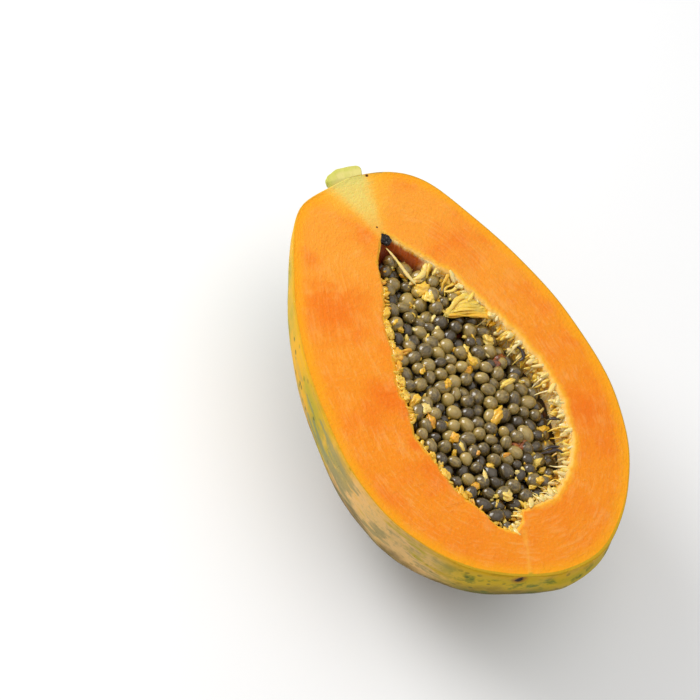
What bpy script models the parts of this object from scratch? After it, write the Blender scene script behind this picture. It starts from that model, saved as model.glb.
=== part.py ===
"""Half of a ripe papaya, cut from stem to blossom end, with its seeds heaped in the hollow.

It lies on its round back with the cut face up. Metres, +Z up, +Y towards the stem. The shapes are
drawn with the cut face at height 0, and the objects are then lifted so that the back rests on the
ground, with the origin under the middle of the fruit's box.
"""

import math

import bmesh
import bpy
import numpy as np
from mathutils import Matrix, Vector
from mathutils.bvhtree import BVHTree

MM = 0.001

# The outline in the cut face from the blossom end to the stem, its right side and its left side,
# as (x, y, x, y) in mm. Each pair of points is one ring of the skin.
OUTLINE_MM = (
    (-0.4, -87.5, -0.4, -87.5),
    (9.1, -87.2, -9.6, -86.0),
    (20.5, -84.3, -20.5, -82.3),
    (32.0, -75.9, -32.4, -76.2),
    (43.4, -62.8, -44.2, -63.8),
    (54.1, -42.4, -54.3, -45.0),
    (58.9, -16.5, -58.1, -22.0),
    (56.4, 11.6, -56.0, 8.0),
    (48.7, 38.5, -49.8, 35.0),
    (37.6, 62.6, -40.0, 58.2),
    (27.6, 79.3, -31.2, 74.6),
    (20.2, 84.4, -25.6, 80.7),
    (13.5, 86.4, -18.5, 82.9),
    (5.5, 87.3, -11.5, 84.8),
    (-3.6, 87.0, -3.6, 86.6),
)
OUTLINE_SOFTENING = 0.025
OUTLINE_ENDS = (0.025, 0.98)
OUTLINE_STEPS = 32
GIRTH_STEPS = 48
BACK_DEPTH = 1.0
RIB_HEIGHT = 0.8 * MM
RIB_COUNT = 5
RIB_TURN = math.radians(18)
REST_CUT = 1.5 * MM
# The middle of the finished half's box, from the outline's own zero, which becomes the origin.
BOX_MIDDLE_X = 0.4 * MM
BOX_MIDDLE_Y = 1.53 * MM

# The button of stalk that stayed on the fruit.
STALK_X = -3.6 * MM
STALK_RADIUS = 7.4 * MM
STALK_FLARE = 1.0 * MM
STALK_REACH = 4.9 * MM
STALK_ROOT = 10.0 * MM
STALK_SIDES = 24

# The pit that the flower left, just beside the lowest point of the outline.
PIT_X = -11.0 * MM
PIT_RADIUS = 6.0 * MM
PIT_DEPTH = 1.6 * MM

# The blossom end is fuller below the cut face, most of all on its right. The fade says between
# which shares of the way to the stem this ends, and the sides between which sides of the fruit,
# from -1 on the left to 1 on the right, the right cheek begins.
CHEEK_OUT = 2.5 * MM
CHEEK_DROP = 2.0 * MM
CHEEK_DEPTH = 7.0 * MM
CHEEK_SIDES = (-0.35, 0.65)
BELLY_DROP = 1.0 * MM
BELLY_DEPTH = 12.0 * MM
CHEEK_FADE = (0.12, 0.42)

# The seed hollow, as (y, left edge, right edge) in the cut face, in mm.
HOLLOW_EDGE_MM = (
    (-67.0, -9.6, -7.4),
    (-64.0, -13.6, -3.4),
    (-60.0, -15.5, -1.6),
    (-58.0, -16.2, 12.0),
    (-54.0, -18.0, 18.8),
    (-48.0, -21.4, 26.0),
    (-40.0, -23.8, 31.2),
    (-30.0, -25.2, 34.2),
    (-21.0, -27.2, 35.7),
    (-10.0, -24.4, 35.5),
    (0.0, -23.6, 33.4),
    (10.0, -20.4, 30.6),
    (20.0, -18.0, 26.6),
    (30.0, -14.8, 22.2),
    (37.0, -11.0, 19.2),
    (43.0, -9.6, 14.0),
    (50.0, -7.2, 8.8),
    (55.5, -3.4, 4.6),
    (61.5, -0.4, 0.8),
)
HOLLOW_DEPTH = 26.0 * MM
HOLLOW_TAPER = 0.55
HOLLOW_STEPS = 30
HOLLOW_SIDES = 14

# The heap of seeds in the hollow. Each round of settling lifts the seeds a little, which packs the
# layer that shows.
SEED_COUNT = 330
SEED_RADII = (2.35 * MM, 3.35 * MM)
SEED_STRETCH = 1.14
SEED_MERIDIANS = 5
SEED_PARALLELS = 4
SEED_RANDOM = 7
SEED_RISE = 0.04 * MM
SETTLE_ROUNDS = 260
LAST_ROUNDS = 12
HEAP_LAYER = 7.5 * MM
HEAP_UNEVEN = 2.6 * MM
CORE_DROP = 4.2 * MM
CORE_TOP_STEPS = 8
SHOWN_DEPTH = 3.3 * MM
WALL_GAP = 0.5 * MM
LEAST_SPACING = 0.72
# Seeds in the hollow's narrow upper tip, as (x, y) in mm, where the others seldom reach.
TIP_SEEDS_MM = ((5.0, 51.0), (-3.0, 50.0), (4.0, 43.5), (-5.0, 44.5), (-6.5, 38.0), (0.5, 46.5))

# One withered seed is stuck in the flesh at the hollow's upper tip.
STUCK_SEED = (0.1 * MM, 58.4 * MM, -0.6 * MM)
STUCK_RADIUS = 2.3 * MM

FLESH_ORANGE = (0.93, 0.27, 0.03, 1.0)
SEED_OLIVE = (0.055, 0.045, 0.028, 1.0)


def clear_scene():
    for thing in list(bpy.data.objects):
        bpy.data.objects.remove(thing)


def plain_material(name, colour, roughness):
    material = bpy.data.materials.new(name)
    material.use_nodes = True
    shader = material.node_tree.nodes["Principled BSDF"]
    shader.inputs["Base Color"].default_value = colour
    shader.inputs["Roughness"].default_value = roughness
    return material


def smooth_through(x, stations, values):
    """A curve through the stations that never swings past them (monotone cubic), for arrays."""
    x0 = np.asarray(stations, float)
    y0 = np.asarray(values, float)
    step = np.diff(x0)
    slope = np.diff(y0) / step
    tangent = np.zeros(len(x0))
    for i in range(1, len(x0) - 1):
        if slope[i - 1] * slope[i] > 0:
            near, far = 2 * step[i] + step[i - 1], step[i] + 2 * step[i - 1]
            tangent[i] = (near + far) / (near / slope[i - 1] + far / slope[i])
    x = np.clip(np.asarray(x, float), x0[0], x0[-1])
    i = np.clip(np.searchsorted(x0, x, side="right") - 1, 0, len(step) - 1)
    t = (x - x0[i]) / step[i]
    return (
        (1 + 2 * t) * (1 - t) ** 2 * y0[i]
        + t * (1 - t) ** 2 * step[i] * tangent[i]
        + t * t * (3 - 2 * t) * y0[i + 1]
        + t * t * (t - 1) * step[i] * tangent[i + 1]
    )


def outline_at(share):
    """The right and left outline points at a share of the way from blossom end to stem."""
    rows = np.array(OUTLINE_MM) * MM
    steps = np.diff(rows, axis=0)
    lengths = (np.hypot(steps[:, 0], steps[:, 1]) + np.hypot(steps[:, 2], steps[:, 3])) / 2
    knots = np.concatenate(([0.0], np.cumsum(lengths))) / lengths.sum()
    points = np.zeros(4)
    for shift, weight in ((-OUTLINE_SOFTENING, 0.25), (0.0, 0.5), (OUTLINE_SOFTENING, 0.25)):
        near = min(1.0, max(0.0, share + shift))
        points += weight * np.array([smooth_through(near, knots, rows[:, k]) for k in range(4)])
    return points


def ease(value, low, high):
    """0 below low, 1 above high, and smooth between them."""
    t = min(1.0, max(0.0, (value - low) / (high - low)))
    return t * t * (3 - 2 * t)


def skin_point(outline, share, turn):
    """A point of the skin. The turn runs from 0 on the right, below the cut face, to pi on the left."""
    right_x, right_y, left_x, left_y = outline
    radius = (right_x - left_x) / 2
    below = math.sin(turn)
    rib = RIB_HEIGHT * math.sin(math.pi * share) * (1.0 - 0.6 * share) * abs(below)
    radius += rib * math.cos(RIB_COUNT * (turn - RIB_TURN))
    x = (right_x + left_x) / 2 + radius * math.cos(turn)
    y = (right_y + left_y) / 2 + (right_y - left_y) / 2 * math.cos(turn)
    z = -BACK_DEPTH * radius * below
    if share < 0.5:
        y += PIT_DEPTH * ease(1 - math.hypot(x - PIT_X, z) / PIT_RADIUS, 0.0, 1.0)
    full = 1 - ease(share, *CHEEK_FADE)
    cheek = full * ease(math.cos(turn), *CHEEK_SIDES) * ease(-z, 0.0, CHEEK_DEPTH)
    belly = full * ease(-z, 0.0, BELLY_DEPTH)
    return Vector((x, y - CHEEK_OUT * cheek, z - CHEEK_DROP * cheek - BELLY_DROP * belly))


def loft(rings):
    """A closed mesh through rings of equally many points, with flat ends."""
    bm = bmesh.new()
    loops = []
    for ring in rings:
        verts = [bm.verts.new(point) for point in ring]
        loops.append([bm.edges.new(pair) for pair in zip(verts, verts[1:] + verts[:1])])
    for lower, upper in zip(loops, loops[1:]):
        bmesh.ops.bridge_loops(bm, edges=lower + upper)
    for end in (loops[0], loops[-1]):
        bmesh.ops.contextual_create(bm, geom=end)
    bmesh.ops.recalc_face_normals(bm, faces=bm.faces)
    return bm


def object_from(bm, name):
    mesh = bpy.data.meshes.new(name)
    bm.to_mesh(mesh)
    bm.free()
    thing = bpy.data.objects.new(name, mesh)
    bpy.context.scene.collection.objects.link(thing)
    return thing


def as_helper(thing):
    thing.hide_render = True
    thing.display_type = "WIRE"
    return thing


def combine(thing, tool, operation):
    change = thing.modifiers.new(tool.name, "BOOLEAN")
    change.operation = operation
    change.object = tool


def bake(thing):
    """Applies the object's modifiers to its mesh."""
    graph = bpy.context.evaluated_depsgraph_get()
    mesh = bpy.data.meshes.new_from_object(thing.evaluated_get(graph))
    thing.modifiers.clear()
    thing.data = mesh


def whole_fruit():
    low, high = OUTLINE_ENDS
    turns = [2 * math.pi * k / GIRTH_STEPS for k in range(GIRTH_STEPS)]
    rings = []
    for i in range(OUTLINE_STEPS + 1):
        share = low + (high - low) * i / OUTLINE_STEPS
        outline = outline_at(share)
        rings.append([skin_point(outline, share, turn) for turn in turns])
    return object_from(loft(rings), "papaya_flesh")


def stalk_button():
    """A short flared cylinder that lies along Y, rooted in the stem end."""
    stem_end = OUTLINE_MM[-1][1] * MM
    stations = (
        (-STALK_ROOT, 0.8 * STALK_RADIUS),
        (0.0, STALK_RADIUS),
        (0.5 * STALK_REACH, STALK_RADIUS + 0.5 * STALK_FLARE),
        (0.8 * STALK_REACH, STALK_RADIUS + STALK_FLARE),
        (STALK_REACH, STALK_RADIUS),
    )
    rings = []
    for along, radius in stations:
        angles = [2 * math.pi * (k + 0.5) / STALK_SIDES for k in range(STALK_SIDES)]
        rings.append(
            [
                (STALK_X + radius * math.cos(a), stem_end + along, radius * math.sin(a))
                for a in angles
            ]
        )
    return as_helper(object_from(loft(rings), "stalk_button"))


def cut_flat(thing, height, upper):
    """Cuts away what is above or below a height, and closes the mesh with a flat face."""
    bm = bmesh.new()
    bm.from_mesh(thing.data)
    cut = bmesh.ops.bisect_plane(
        bm,
        geom=bm.verts[:] + bm.edges[:] + bm.faces[:],
        plane_co=(0, 0, height),
        plane_no=(0, 0, 1 if upper else -1),
        clear_outer=True,
    )
    rim = [part for part in cut["geom_cut"] if isinstance(part, bmesh.types.BMEdge)]
    bmesh.ops.contextual_create(bm, geom=rim)
    bmesh.ops.recalc_face_normals(bm, faces=bm.faces)
    bm.to_mesh(thing.data)
    bm.free()


def hollow_stations():
    """Heights along the hollow, closer together towards its two ends."""
    low, high = HOLLOW_EDGE_MM[0][0] * MM, HOLLOW_EDGE_MM[-1][0] * MM
    angles = np.linspace(0.0, math.pi, HOLLOW_STEPS + 1)
    share = 0.65 * (1 - np.cos(angles)) / 2 + 0.35 * angles / math.pi
    return low + (high - low) * share


def hollow_at(y):
    """(left edge, right edge, depth) of the seed hollow at a height along the fruit, for arrays."""
    rows = np.array(HOLLOW_EDGE_MM) * MM
    stations = hollow_stations()
    left = smooth_through(stations, rows[:, 0], rows[:, 1])
    right = smooth_through(stations, rows[:, 0], rows[:, 2])
    width = right - left
    depth = HOLLOW_DEPTH * (width / width.max()) ** HOLLOW_TAPER
    return tuple(np.interp(y, stations, values) for values in (left, right, depth))


def hollow_cutter():
    """The seed hollow as a solid that stands a little above the cut face."""
    lift = 3.0 * MM
    rings = []
    for y in hollow_stations():
        left, right, depth = (float(value) for value in hollow_at(y))
        middle, half = (left + right) / 2, (right - left) / 2
        ring = [(right, y, lift)]
        for k in range(HOLLOW_SIDES + 1):
            angle = math.pi * k / HOLLOW_SIDES
            ring.append((middle + half * math.cos(angle), y, -depth * math.sin(angle)))
        ring.append((left, y, lift))
        rings.append(ring)
    return as_helper(object_from(loft(rings), "hollow_cutter"))


def stuck_seed():
    bm = bmesh.new()
    bmesh.ops.create_uvsphere(
        bm, u_segments=SEED_MERIDIANS, v_segments=SEED_PARALLELS, radius=STUCK_RADIUS
    )
    bmesh.ops.transform(bm, matrix=Matrix.Translation(STUCK_SEED), verts=bm.verts)
    return as_helper(object_from(bm, "stuck_seed"))


def heap_top(x, y):
    """Height of the heap's top. It dips along the middle, at the right wall and at the upper tip."""
    left, right, _ = hollow_at(y)
    side = (2 * x - left - right) / (right - left)
    upper = np.clip((y + 12 * MM) / (40 * MM), 0.0, 1.0)
    tip = np.clip((y - 38 * MM) / (10 * MM), 0.0, 1.0)
    valley = (0.8 + 3.6 * upper) * (1 - tip) * np.exp(-(((side + 0.1) / 0.34) ** 2))
    lower = np.clip((24 * MM - y) / (20 * MM), 0.0, 1.0)
    right_dip = (2.5 + 4.5 * lower) * np.clip((side - 0.3) / 0.7, 0.0, 1.0)
    tip_dip = 2.4 * tip
    swell = 0.7 * np.sin(y / (9.0 * MM)) * np.cos(x / (8.0 * MM))
    return (-0.4 - valley - right_dip - tip_dip + swell) * MM


def wall_of(hollow):
    bm = bmesh.new()
    bm.from_mesh(hollow.data)
    wall = BVHTree.FromBMesh(bm)
    bm.free()
    return wall


def clearance(wall, point):
    """How far a point lies inside the hollow's wall, and the wall's outward normal there."""
    place, normal, _, away = wall.find_nearest(Vector(point))
    return math.copysign(away, (place - Vector(point)).dot(normal)), normal


def keep_inside(centre, radius, lid, wall):
    """Moves seeds back under the heap's top, above the layer's floor and off the hollow's wall."""
    top = heap_top(centre[:, 0], centre[:, 1])
    centre[:, 2] = np.clip(centre[:, 2], top - HEAP_LAYER - radius, top - lid - radius)
    for i, size in enumerate(radius):
        clear, normal = clearance(wall, centre[i])
        short = size * SEED_STRETCH + WALL_GAP - clear
        if short > 0:
            centre[i] -= np.array(normal) * min(short, 1.0 * MM)
    return centre


def scatter_seeds(random):
    """The seeds' first places, at random through the heap's upper layer."""
    low, high = hollow_stations()[[0, -1]]
    places = [(x * MM, y * MM, heap_top(x * MM, y * MM)) for x, y in TIP_SEEDS_MM]
    while len(places) < SEED_COUNT:
        y = random.uniform(low, high)
        left, right, _ = hollow_at(y)
        if random.uniform() < (right - left) / (62 * MM):
            x = left + (right - left) * random.uniform(0.05, 0.95)
            places.append((x, y, heap_top(x, y) - random.uniform() * HEAP_LAYER))
    return np.array(places)


def crowded(centre, radius):
    """Marks each seed that lies too deep inside one that came before it."""
    apart = centre[:, None, :] - centre[None, :, :]
    near = np.sqrt((apart**2).sum(2)) < LEAST_SPACING * (radius[:, None] + radius[None, :])
    return np.tril(near, -1).any(1)


def settle_seeds(wall):
    """Places the seeds: balls pushed apart and kept in the hollow, under the heap's top."""
    random = np.random.RandomState(SEED_RANDOM)
    radius = random.uniform(*SEED_RADII, SEED_COUNT)
    lid = random.uniform(0.0, 1.0, SEED_COUNT) ** 1.6 * HEAP_UNEVEN
    centre = scatter_seeds(random)
    index = np.arange(SEED_COUNT)
    for turn in range(SETTLE_ROUNDS + LAST_ROUNDS):
        if turn < SETTLE_ROUNDS:
            apart = centre[:, None, :] - centre[None, :, :]
            distance = np.sqrt((apart**2).sum(2)) + 1e-9
            overlap = radius[:, None] + radius[None, :] - distance
            overlap[index, index] = 0.0
            push = np.clip(overlap, 0.0, None) / distance
            centre += 0.24 * (apart * push[:, :, None]).sum(1)
            centre[:, 2] += SEED_RISE
        centre = keep_inside(centre, radius, lid, wall)
    clear = np.array([clearance(wall, point)[0] for point in centre])
    fits = (clear > radius * SEED_STRETCH + 0.6 * WALL_GAP) & ~crowded(centre, radius)
    shows = centre[:, 2] + radius > heap_top(centre[:, 0], centre[:, 1]) - SHOWN_DEPTH
    return centre[fits & shows], radius[fits & shows]


def heap_core():
    """What lies under the seeds that show: the hollow's own shape, a little smaller, with a low top."""
    rings = []
    for y in hollow_stations():
        lefts, rights, depths = hollow_at(y + np.array((-WALL_GAP, 0.0, WALL_GAP)))
        left, right = float(lefts.max()) + WALL_GAP, float(rights.min()) - WALL_GAP
        middle, half, depth = (left + right) / 2, (right - left) / 2, float(depths.min()) - WALL_GAP
        top = max(float(heap_top(middle + 0.5 * half, y)) - CORE_DROP, -0.6 * depth)
        if half < 3.0 * MM:
            continue
        start = math.asin(-top / depth)
        ring = []
        for k in range(HOLLOW_SIDES + 1):
            angle = start + (math.pi - 2 * start) * k / HOLLOW_SIDES
            ring.append((middle + half * math.cos(angle), y, -depth * math.sin(angle)))
        for k in range(1, CORE_TOP_STEPS):
            side = math.cos(start) * (2 * k / CORE_TOP_STEPS - 1)
            x = middle + half * side
            lowest = -0.7 * depth * math.sqrt(1 - side * side)
            ring.append((x, y, max(float(heap_top(x, y)) - CORE_DROP, lowest)))
        rings.append(ring)
    return object_from(loft(rings), "seed_heap")


def join_seeds(heap, hollow):
    """Fuses the seeds that show to the heap with one Boolean union."""
    centre, radius = settle_seeds(wall_of(hollow))
    random = np.random.RandomState(SEED_RANDOM + 1)
    seeds = bpy.data.collections.new("seeds")
    bpy.context.scene.collection.children.link(seeds)
    slim = SEED_STRETCH**-0.5
    for place, size in zip(centre, radius):
        axis = Vector(random.normal(size=3)).normalized()
        tilt = axis.to_track_quat("Z", "Y").to_matrix().to_4x4()
        shape = Matrix.Diagonal((slim, slim, SEED_STRETCH, 1.0))
        bm = bmesh.new()
        bmesh.ops.create_uvsphere(
            bm, u_segments=SEED_MERIDIANS, v_segments=SEED_PARALLELS, radius=float(size)
        )
        bmesh.ops.transform(bm, matrix=Matrix.Translation(place) @ tilt @ shape, verts=bm.verts)
        seed = object_from(bm, "seed")
        bpy.context.scene.collection.objects.unlink(seed)
        seeds.objects.link(seed)
    union = heap.modifiers.new("seeds", "BOOLEAN")
    union.operation = "UNION"
    union.solver = "MANIFOLD"
    union.operand_type = "COLLECTION"
    union.collection = seeds
    bake(heap)
    for seed in list(seeds.objects):
        bpy.data.objects.remove(seed)
    bpy.data.collections.remove(seeds)


def main():
    clear_scene()
    flesh = whole_fruit()
    stalk = stalk_button()
    combine(flesh, stalk, "UNION")
    bake(flesh)
    cut_flat(flesh, 0.0, upper=True)
    floor = min(vert.co.z for vert in flesh.data.vertices) + REST_CUT
    cut_flat(flesh, floor, upper=False)
    hollow = hollow_cutter()
    stuck = stuck_seed()
    combine(flesh, hollow, "DIFFERENCE")
    combine(flesh, stuck, "UNION")
    heap = heap_core()
    join_seeds(heap, hollow)
    flesh.data.materials.append(plain_material("papaya_flesh", FLESH_ORANGE, 0.45))
    heap.data.materials.clear()
    heap.data.materials.append(plain_material("papaya_seed", SEED_OLIVE, 0.25))
    for thing in (flesh, stalk, hollow, stuck, heap):
        thing.location = (-BOX_MIDDLE_X, -BOX_MIDDLE_Y, -floor)


main()
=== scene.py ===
"""Half of a ripe papaya on a pale table: cut flesh, speckled rind, and wet seeds in their hollow.

The shapes are drawn in millimetres on the cut face: x across the fruit, y towards the stem, and z
up out of the cut face. They are then set where the frame's solids are.
"""

import math

import bmesh
import bpy
import numpy as np
from bpy.props import FloatProperty, FloatVectorProperty, IntProperty, PointerProperty
from mathutils import Matrix, Vector
from mathutils.bvhtree import BVHTree


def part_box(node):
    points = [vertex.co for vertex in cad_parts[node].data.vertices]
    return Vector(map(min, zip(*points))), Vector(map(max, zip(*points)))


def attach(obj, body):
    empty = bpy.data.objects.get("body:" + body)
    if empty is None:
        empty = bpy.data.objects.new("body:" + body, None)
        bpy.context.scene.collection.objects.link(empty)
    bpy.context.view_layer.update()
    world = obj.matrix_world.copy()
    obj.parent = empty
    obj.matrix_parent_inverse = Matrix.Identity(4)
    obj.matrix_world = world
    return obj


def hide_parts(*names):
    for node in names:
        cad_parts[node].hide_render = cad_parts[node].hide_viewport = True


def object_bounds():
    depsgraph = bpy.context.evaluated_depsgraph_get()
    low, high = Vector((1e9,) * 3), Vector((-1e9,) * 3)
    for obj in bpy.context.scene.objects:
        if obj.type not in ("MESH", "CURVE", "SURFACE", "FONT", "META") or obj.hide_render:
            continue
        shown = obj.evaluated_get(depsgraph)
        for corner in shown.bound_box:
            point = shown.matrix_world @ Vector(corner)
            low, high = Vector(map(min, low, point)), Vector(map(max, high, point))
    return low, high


bl_info = {
    "name": "Papaya half",
    "version": (1, 0, 0),
    "blender": (4, 5, 0),
    "location": "View3D > Sidebar > Papaya",
    "description": "Builds the flesh, rind, seeds and pulp of a papaya half on its solid frame",
    "category": "Object",
}

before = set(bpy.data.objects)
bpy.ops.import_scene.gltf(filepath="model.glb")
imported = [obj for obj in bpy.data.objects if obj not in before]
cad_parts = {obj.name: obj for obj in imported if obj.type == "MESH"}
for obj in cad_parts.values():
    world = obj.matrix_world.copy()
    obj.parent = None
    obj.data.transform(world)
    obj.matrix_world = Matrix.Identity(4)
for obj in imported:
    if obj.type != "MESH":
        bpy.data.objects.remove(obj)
SOLID_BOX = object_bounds()
BODY = "root"
MM = 0.001

# Steps of fine curves and of the skin along the fruit, and how many values the rough field holds.
FINE_STEPS = 1500
SKIN_STEPS = 400
FIELD_VALUES = 4096

# Where the drawing's zero lies in the frame, as in the solids.
DRAWING_X = -0.4
DRAWING_Y = -1.53
CUT_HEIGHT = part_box("papaya_flesh")[1].z / MM
DRAWING_SHIFT = (DRAWING_X, DRAWING_Y, CUT_HEIGHT)

# The outline in the cut face from blossom end to stem: right x, y and left x, y.
OUTLINE = (
    (-0.4, -87.5, -0.4, -87.5),
    (9.1, -87.2, -9.6, -86.0),
    (20.5, -84.3, -20.5, -82.3),
    (32.0, -75.9, -32.4, -76.2),
    (43.4, -62.8, -44.2, -63.8),
    (54.1, -42.4, -54.3, -45.0),
    (58.9, -16.5, -58.1, -22.0),
    (56.4, 11.6, -56.0, 8.0),
    (48.7, 38.5, -49.8, 35.0),
    (37.6, 62.6, -40.0, 58.2),
    (27.6, 79.3, -31.2, 74.6),
    (20.2, 84.4, -25.6, 80.7),
    (13.5, 86.4, -18.5, 82.9),
    (5.5, 87.3, -11.5, 84.8),
    (-3.6, 87.0, -3.6, 86.6),
)
OUTLINE_SOFTENING = 0.025
RIB_HEIGHT = 0.8
RIB_COUNT = 5
RIB_TURN = math.radians(18)
PIT_X = -11.0
PIT_RADIUS = 6.0
PIT_DEPTH = 1.6

# How much fuller the blossom end is below the cut face, most of all on its right.
CHEEK_OUT = 2.5
CHEEK_DROP = 2.0
CHEEK_DEPTH = 7.0
CHEEK_SIDES = (-0.35, 0.65)
BELLY_DROP = 1.0
BELLY_DEPTH = 12.0
CHEEK_FADE = (0.12, 0.42)

# The seed hollow in the cut face: y, left edge, right edge. What shapes the hollow and the heap is
# worked out in metres, with the same steps as in the solids, so that the seeds lie in their places.
HOLLOW_EDGE_MM = (
    (-67.0, -9.6, -7.4),
    (-64.0, -13.6, -3.4),
    (-60.0, -15.5, -1.6),
    (-58.0, -16.2, 12.0),
    (-54.0, -18.0, 18.8),
    (-48.0, -21.4, 26.0),
    (-40.0, -23.8, 31.2),
    (-30.0, -25.2, 34.2),
    (-21.0, -27.2, 35.7),
    (-10.0, -24.4, 35.5),
    (0.0, -23.6, 33.4),
    (10.0, -20.4, 30.6),
    (20.0, -18.0, 26.6),
    (30.0, -14.8, 22.2),
    (37.0, -11.0, 19.2),
    (43.0, -9.6, 14.0),
    (50.0, -7.2, 8.8),
    (55.5, -3.4, 4.6),
    (61.5, -0.4, 0.8),
)
HOLLOW_DEPTH = 26.0 * MM
HOLLOW_TAPER = 0.55
HOLLOW_STEPS = 30
HOLLOW_SIDES = 14

# The heap: the same draws and the same settling as in the solid.
SEED_COUNT = 330
SEED_RADII = (2.35 * MM, 3.35 * MM)
SEED_STRETCH = 1.14
SEED_RANDOM = 7
SEED_RISE = 0.04 * MM
SETTLE_ROUNDS = 260
LAST_ROUNDS = 12
HEAP_LAYER = 7.5 * MM
HEAP_UNEVEN = 2.6 * MM
CORE_DROP = 6.6 * MM
CORE_LEAST_HALF = 5.5 * MM
CORE_TOP_STEPS = 8
SHOWN_DEPTH = 3.3
WALL_GAP = 0.5 * MM
LEAST_SPACING = 0.72
TIP_SEEDS_MM = ((5.0, 51.0), (-3.0, 50.0), (4.0, 43.5), (-5.0, 44.5), (-6.5, 38.0), (0.5, 46.5))
STUCK_SEED = (0.1, 58.4, -0.6)
STUCK_RADIUS = 2.3

# The stalk button, in the solid's place.
STALK_X = -3.6
STALK_RADIUS = 7.4
# How thick the button is along its length, as (distance from the stem end, share of its radius).
STALK_STATIONS = (
    (-3.0, 0.90), (-1.0, 0.94), (0.0, 0.97), (1.0, 1.02), (2.0, 1.07), (3.0, 1.09),
    (3.7, 1.06), (4.2, 0.99), (4.5, 0.90), (4.7, 0.72), (4.8, 0.45),
)
STALK_SIDES = 40

# The camera looks down on the cut face from the blossom end's left.
SHEET_SIDE = 700
LENS_PIXELS = 3000.0
CAMERA_DISTANCE = 1.092
CAMERA_BACK = Vector((-0.506, -0.360, 0.784))
CAMERA_UP = Vector((0.2161, 0.8268, 0.5193))
ZERO_PIXEL = (453.8, 368.7)
SENSOR_WIDTH = 36.0

# The room's light, the half side of the table, and the lamps: name, how far across, up and back
# from the fruit, side and power.
ROOM_LIGHT = 0.58
TABLE_HALF = 3.0
LAMPS = (
    ("window", (-0.55, 0.75, 0.35), 0.6, 7.8),
    ("fill", (0.5, 0.5, 0.8), 1.2, 2.5),
)


def smooth_through(x, stations, values):
    """A curve through the stations that never swings past them (monotone cubic), for arrays."""
    x0 = np.asarray(stations, float)
    y0 = np.asarray(values, float)
    step = np.diff(x0)
    slope = np.diff(y0) / step
    tangent = np.zeros(len(x0))
    for i in range(1, len(x0) - 1):
        if slope[i - 1] * slope[i] > 0:
            near, far = 2 * step[i] + step[i - 1], step[i] + 2 * step[i - 1]
            tangent[i] = (near + far) / (near / slope[i - 1] + far / slope[i])
    x = np.clip(np.asarray(x, float), x0[0], x0[-1])
    i = np.clip(np.searchsorted(x0, x, side="right") - 1, 0, len(step) - 1)
    t = (x - x0[i]) / step[i]
    return (
        (1 + 2 * t) * (1 - t) ** 2 * y0[i]
        + t * (1 - t) ** 2 * step[i] * tangent[i]
        + t * t * (3 - 2 * t) * y0[i + 1]
        + t * t * (t - 1) * step[i] * tangent[i + 1]
    )


def ease(value, low, high):
    """0 below low, 1 above high, and smooth between them."""
    t = np.clip((value - low) / (high - low), 0.0, 1.0)
    return t * t * (3 - 2 * t)


def rough_field(points, size, seed):
    """Smooth random values between -1 and 1 at the points, with bumps about as large as size."""
    random = np.random.RandomState(seed)
    table = random.uniform(-1.0, 1.0, FIELD_VALUES)
    scaled = np.asarray(points, float) / size + 100.0
    cell = np.floor(scaled).astype(int)
    part = scaled - cell
    part = part * part * (3 - 2 * part)
    total = np.zeros(len(scaled))
    for corner in range(8):
        bit = np.array([(corner >> k) & 1 for k in range(3)])
        at = cell + bit
        weight = np.prod(np.where(bit, part, 1 - part), axis=1)
        total += weight * table[(at[:, 0] * 73 + at[:, 1] * 179 + at[:, 2] * 283) % FIELD_VALUES]
    return total


def outline_at(share):
    """Right x, right y, left x and left y of the outline, for an array of shares along the fruit."""
    rows = np.array(OUTLINE)
    steps = np.diff(rows, axis=0)
    lengths = (np.hypot(steps[:, 0], steps[:, 1]) + np.hypot(steps[:, 2], steps[:, 3])) / 2
    knots = np.concatenate(([0.0], np.cumsum(lengths))) / lengths.sum()
    total = 0.0
    for shift, weight in ((-OUTLINE_SOFTENING, 0.25), (0.0, 0.5), (OUTLINE_SOFTENING, 0.25)):
        near = np.clip(share + shift, 0.0, 1.0)
        total = total + weight * np.array([smooth_through(near, knots, rows[:, k]) for k in range(4)])
    return total


def skin_below(x, y):
    """The skin's point under each point of the cut face, from the rings through the outline."""
    shares = np.linspace(0.0, 1.0, SKIN_STEPS)
    right_x, right_y, left_x, left_y = outline_at(shares)
    middle_x, half = (right_x + left_x) / 2, (right_x - left_x) / 2
    middle_y, tilt = (right_y + left_y) / 2, (right_y - left_y) / 2
    level = np.array(y, float)
    for _ in range(4):
        share = np.interp(level, middle_y, shares)
        centre = np.interp(share, shares, middle_x)
        radius = np.maximum(np.interp(share, shares, half), 0.01)
        side = np.clip((x - centre) / radius, -1.0, 1.0)
        level = y - np.interp(share, shares, tilt) * side
    below = np.sqrt(1 - side * side)
    turn = np.arccos(side)
    rib = RIB_HEIGHT * np.sin(math.pi * share) * (1.0 - 0.6 * share) * below
    radius = radius + rib * np.cos(RIB_COUNT * (turn - RIB_TURN))
    points = np.stack([centre + radius * side, y, -radius * below], 1)
    pit = ease(1 - np.hypot(points[:, 0] - PIT_X, points[:, 2]) / PIT_RADIUS, 0.0, 1.0)
    points[:, 1] += np.where(share < 0.5, PIT_DEPTH * pit, 0.0)
    full = 1 - ease(share, *CHEEK_FADE)
    cheek = full * ease(side, *CHEEK_SIDES) * ease(-points[:, 2], 0.0, CHEEK_DEPTH)
    belly = full * ease(-points[:, 2], 0.0, BELLY_DEPTH)
    points[:, 1] -= CHEEK_OUT * cheek
    points[:, 2] -= CHEEK_DROP * cheek + BELLY_DROP * belly
    return points


def hollow_stations():
    """Heights along the hollow, closer together towards its two ends, in metres."""
    low, high = HOLLOW_EDGE_MM[0][0] * MM, HOLLOW_EDGE_MM[-1][0] * MM
    angles = np.linspace(0.0, math.pi, HOLLOW_STEPS + 1)
    share = 0.65 * (1 - np.cos(angles)) / 2 + 0.35 * angles / math.pi
    return low + (high - low) * share


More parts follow.
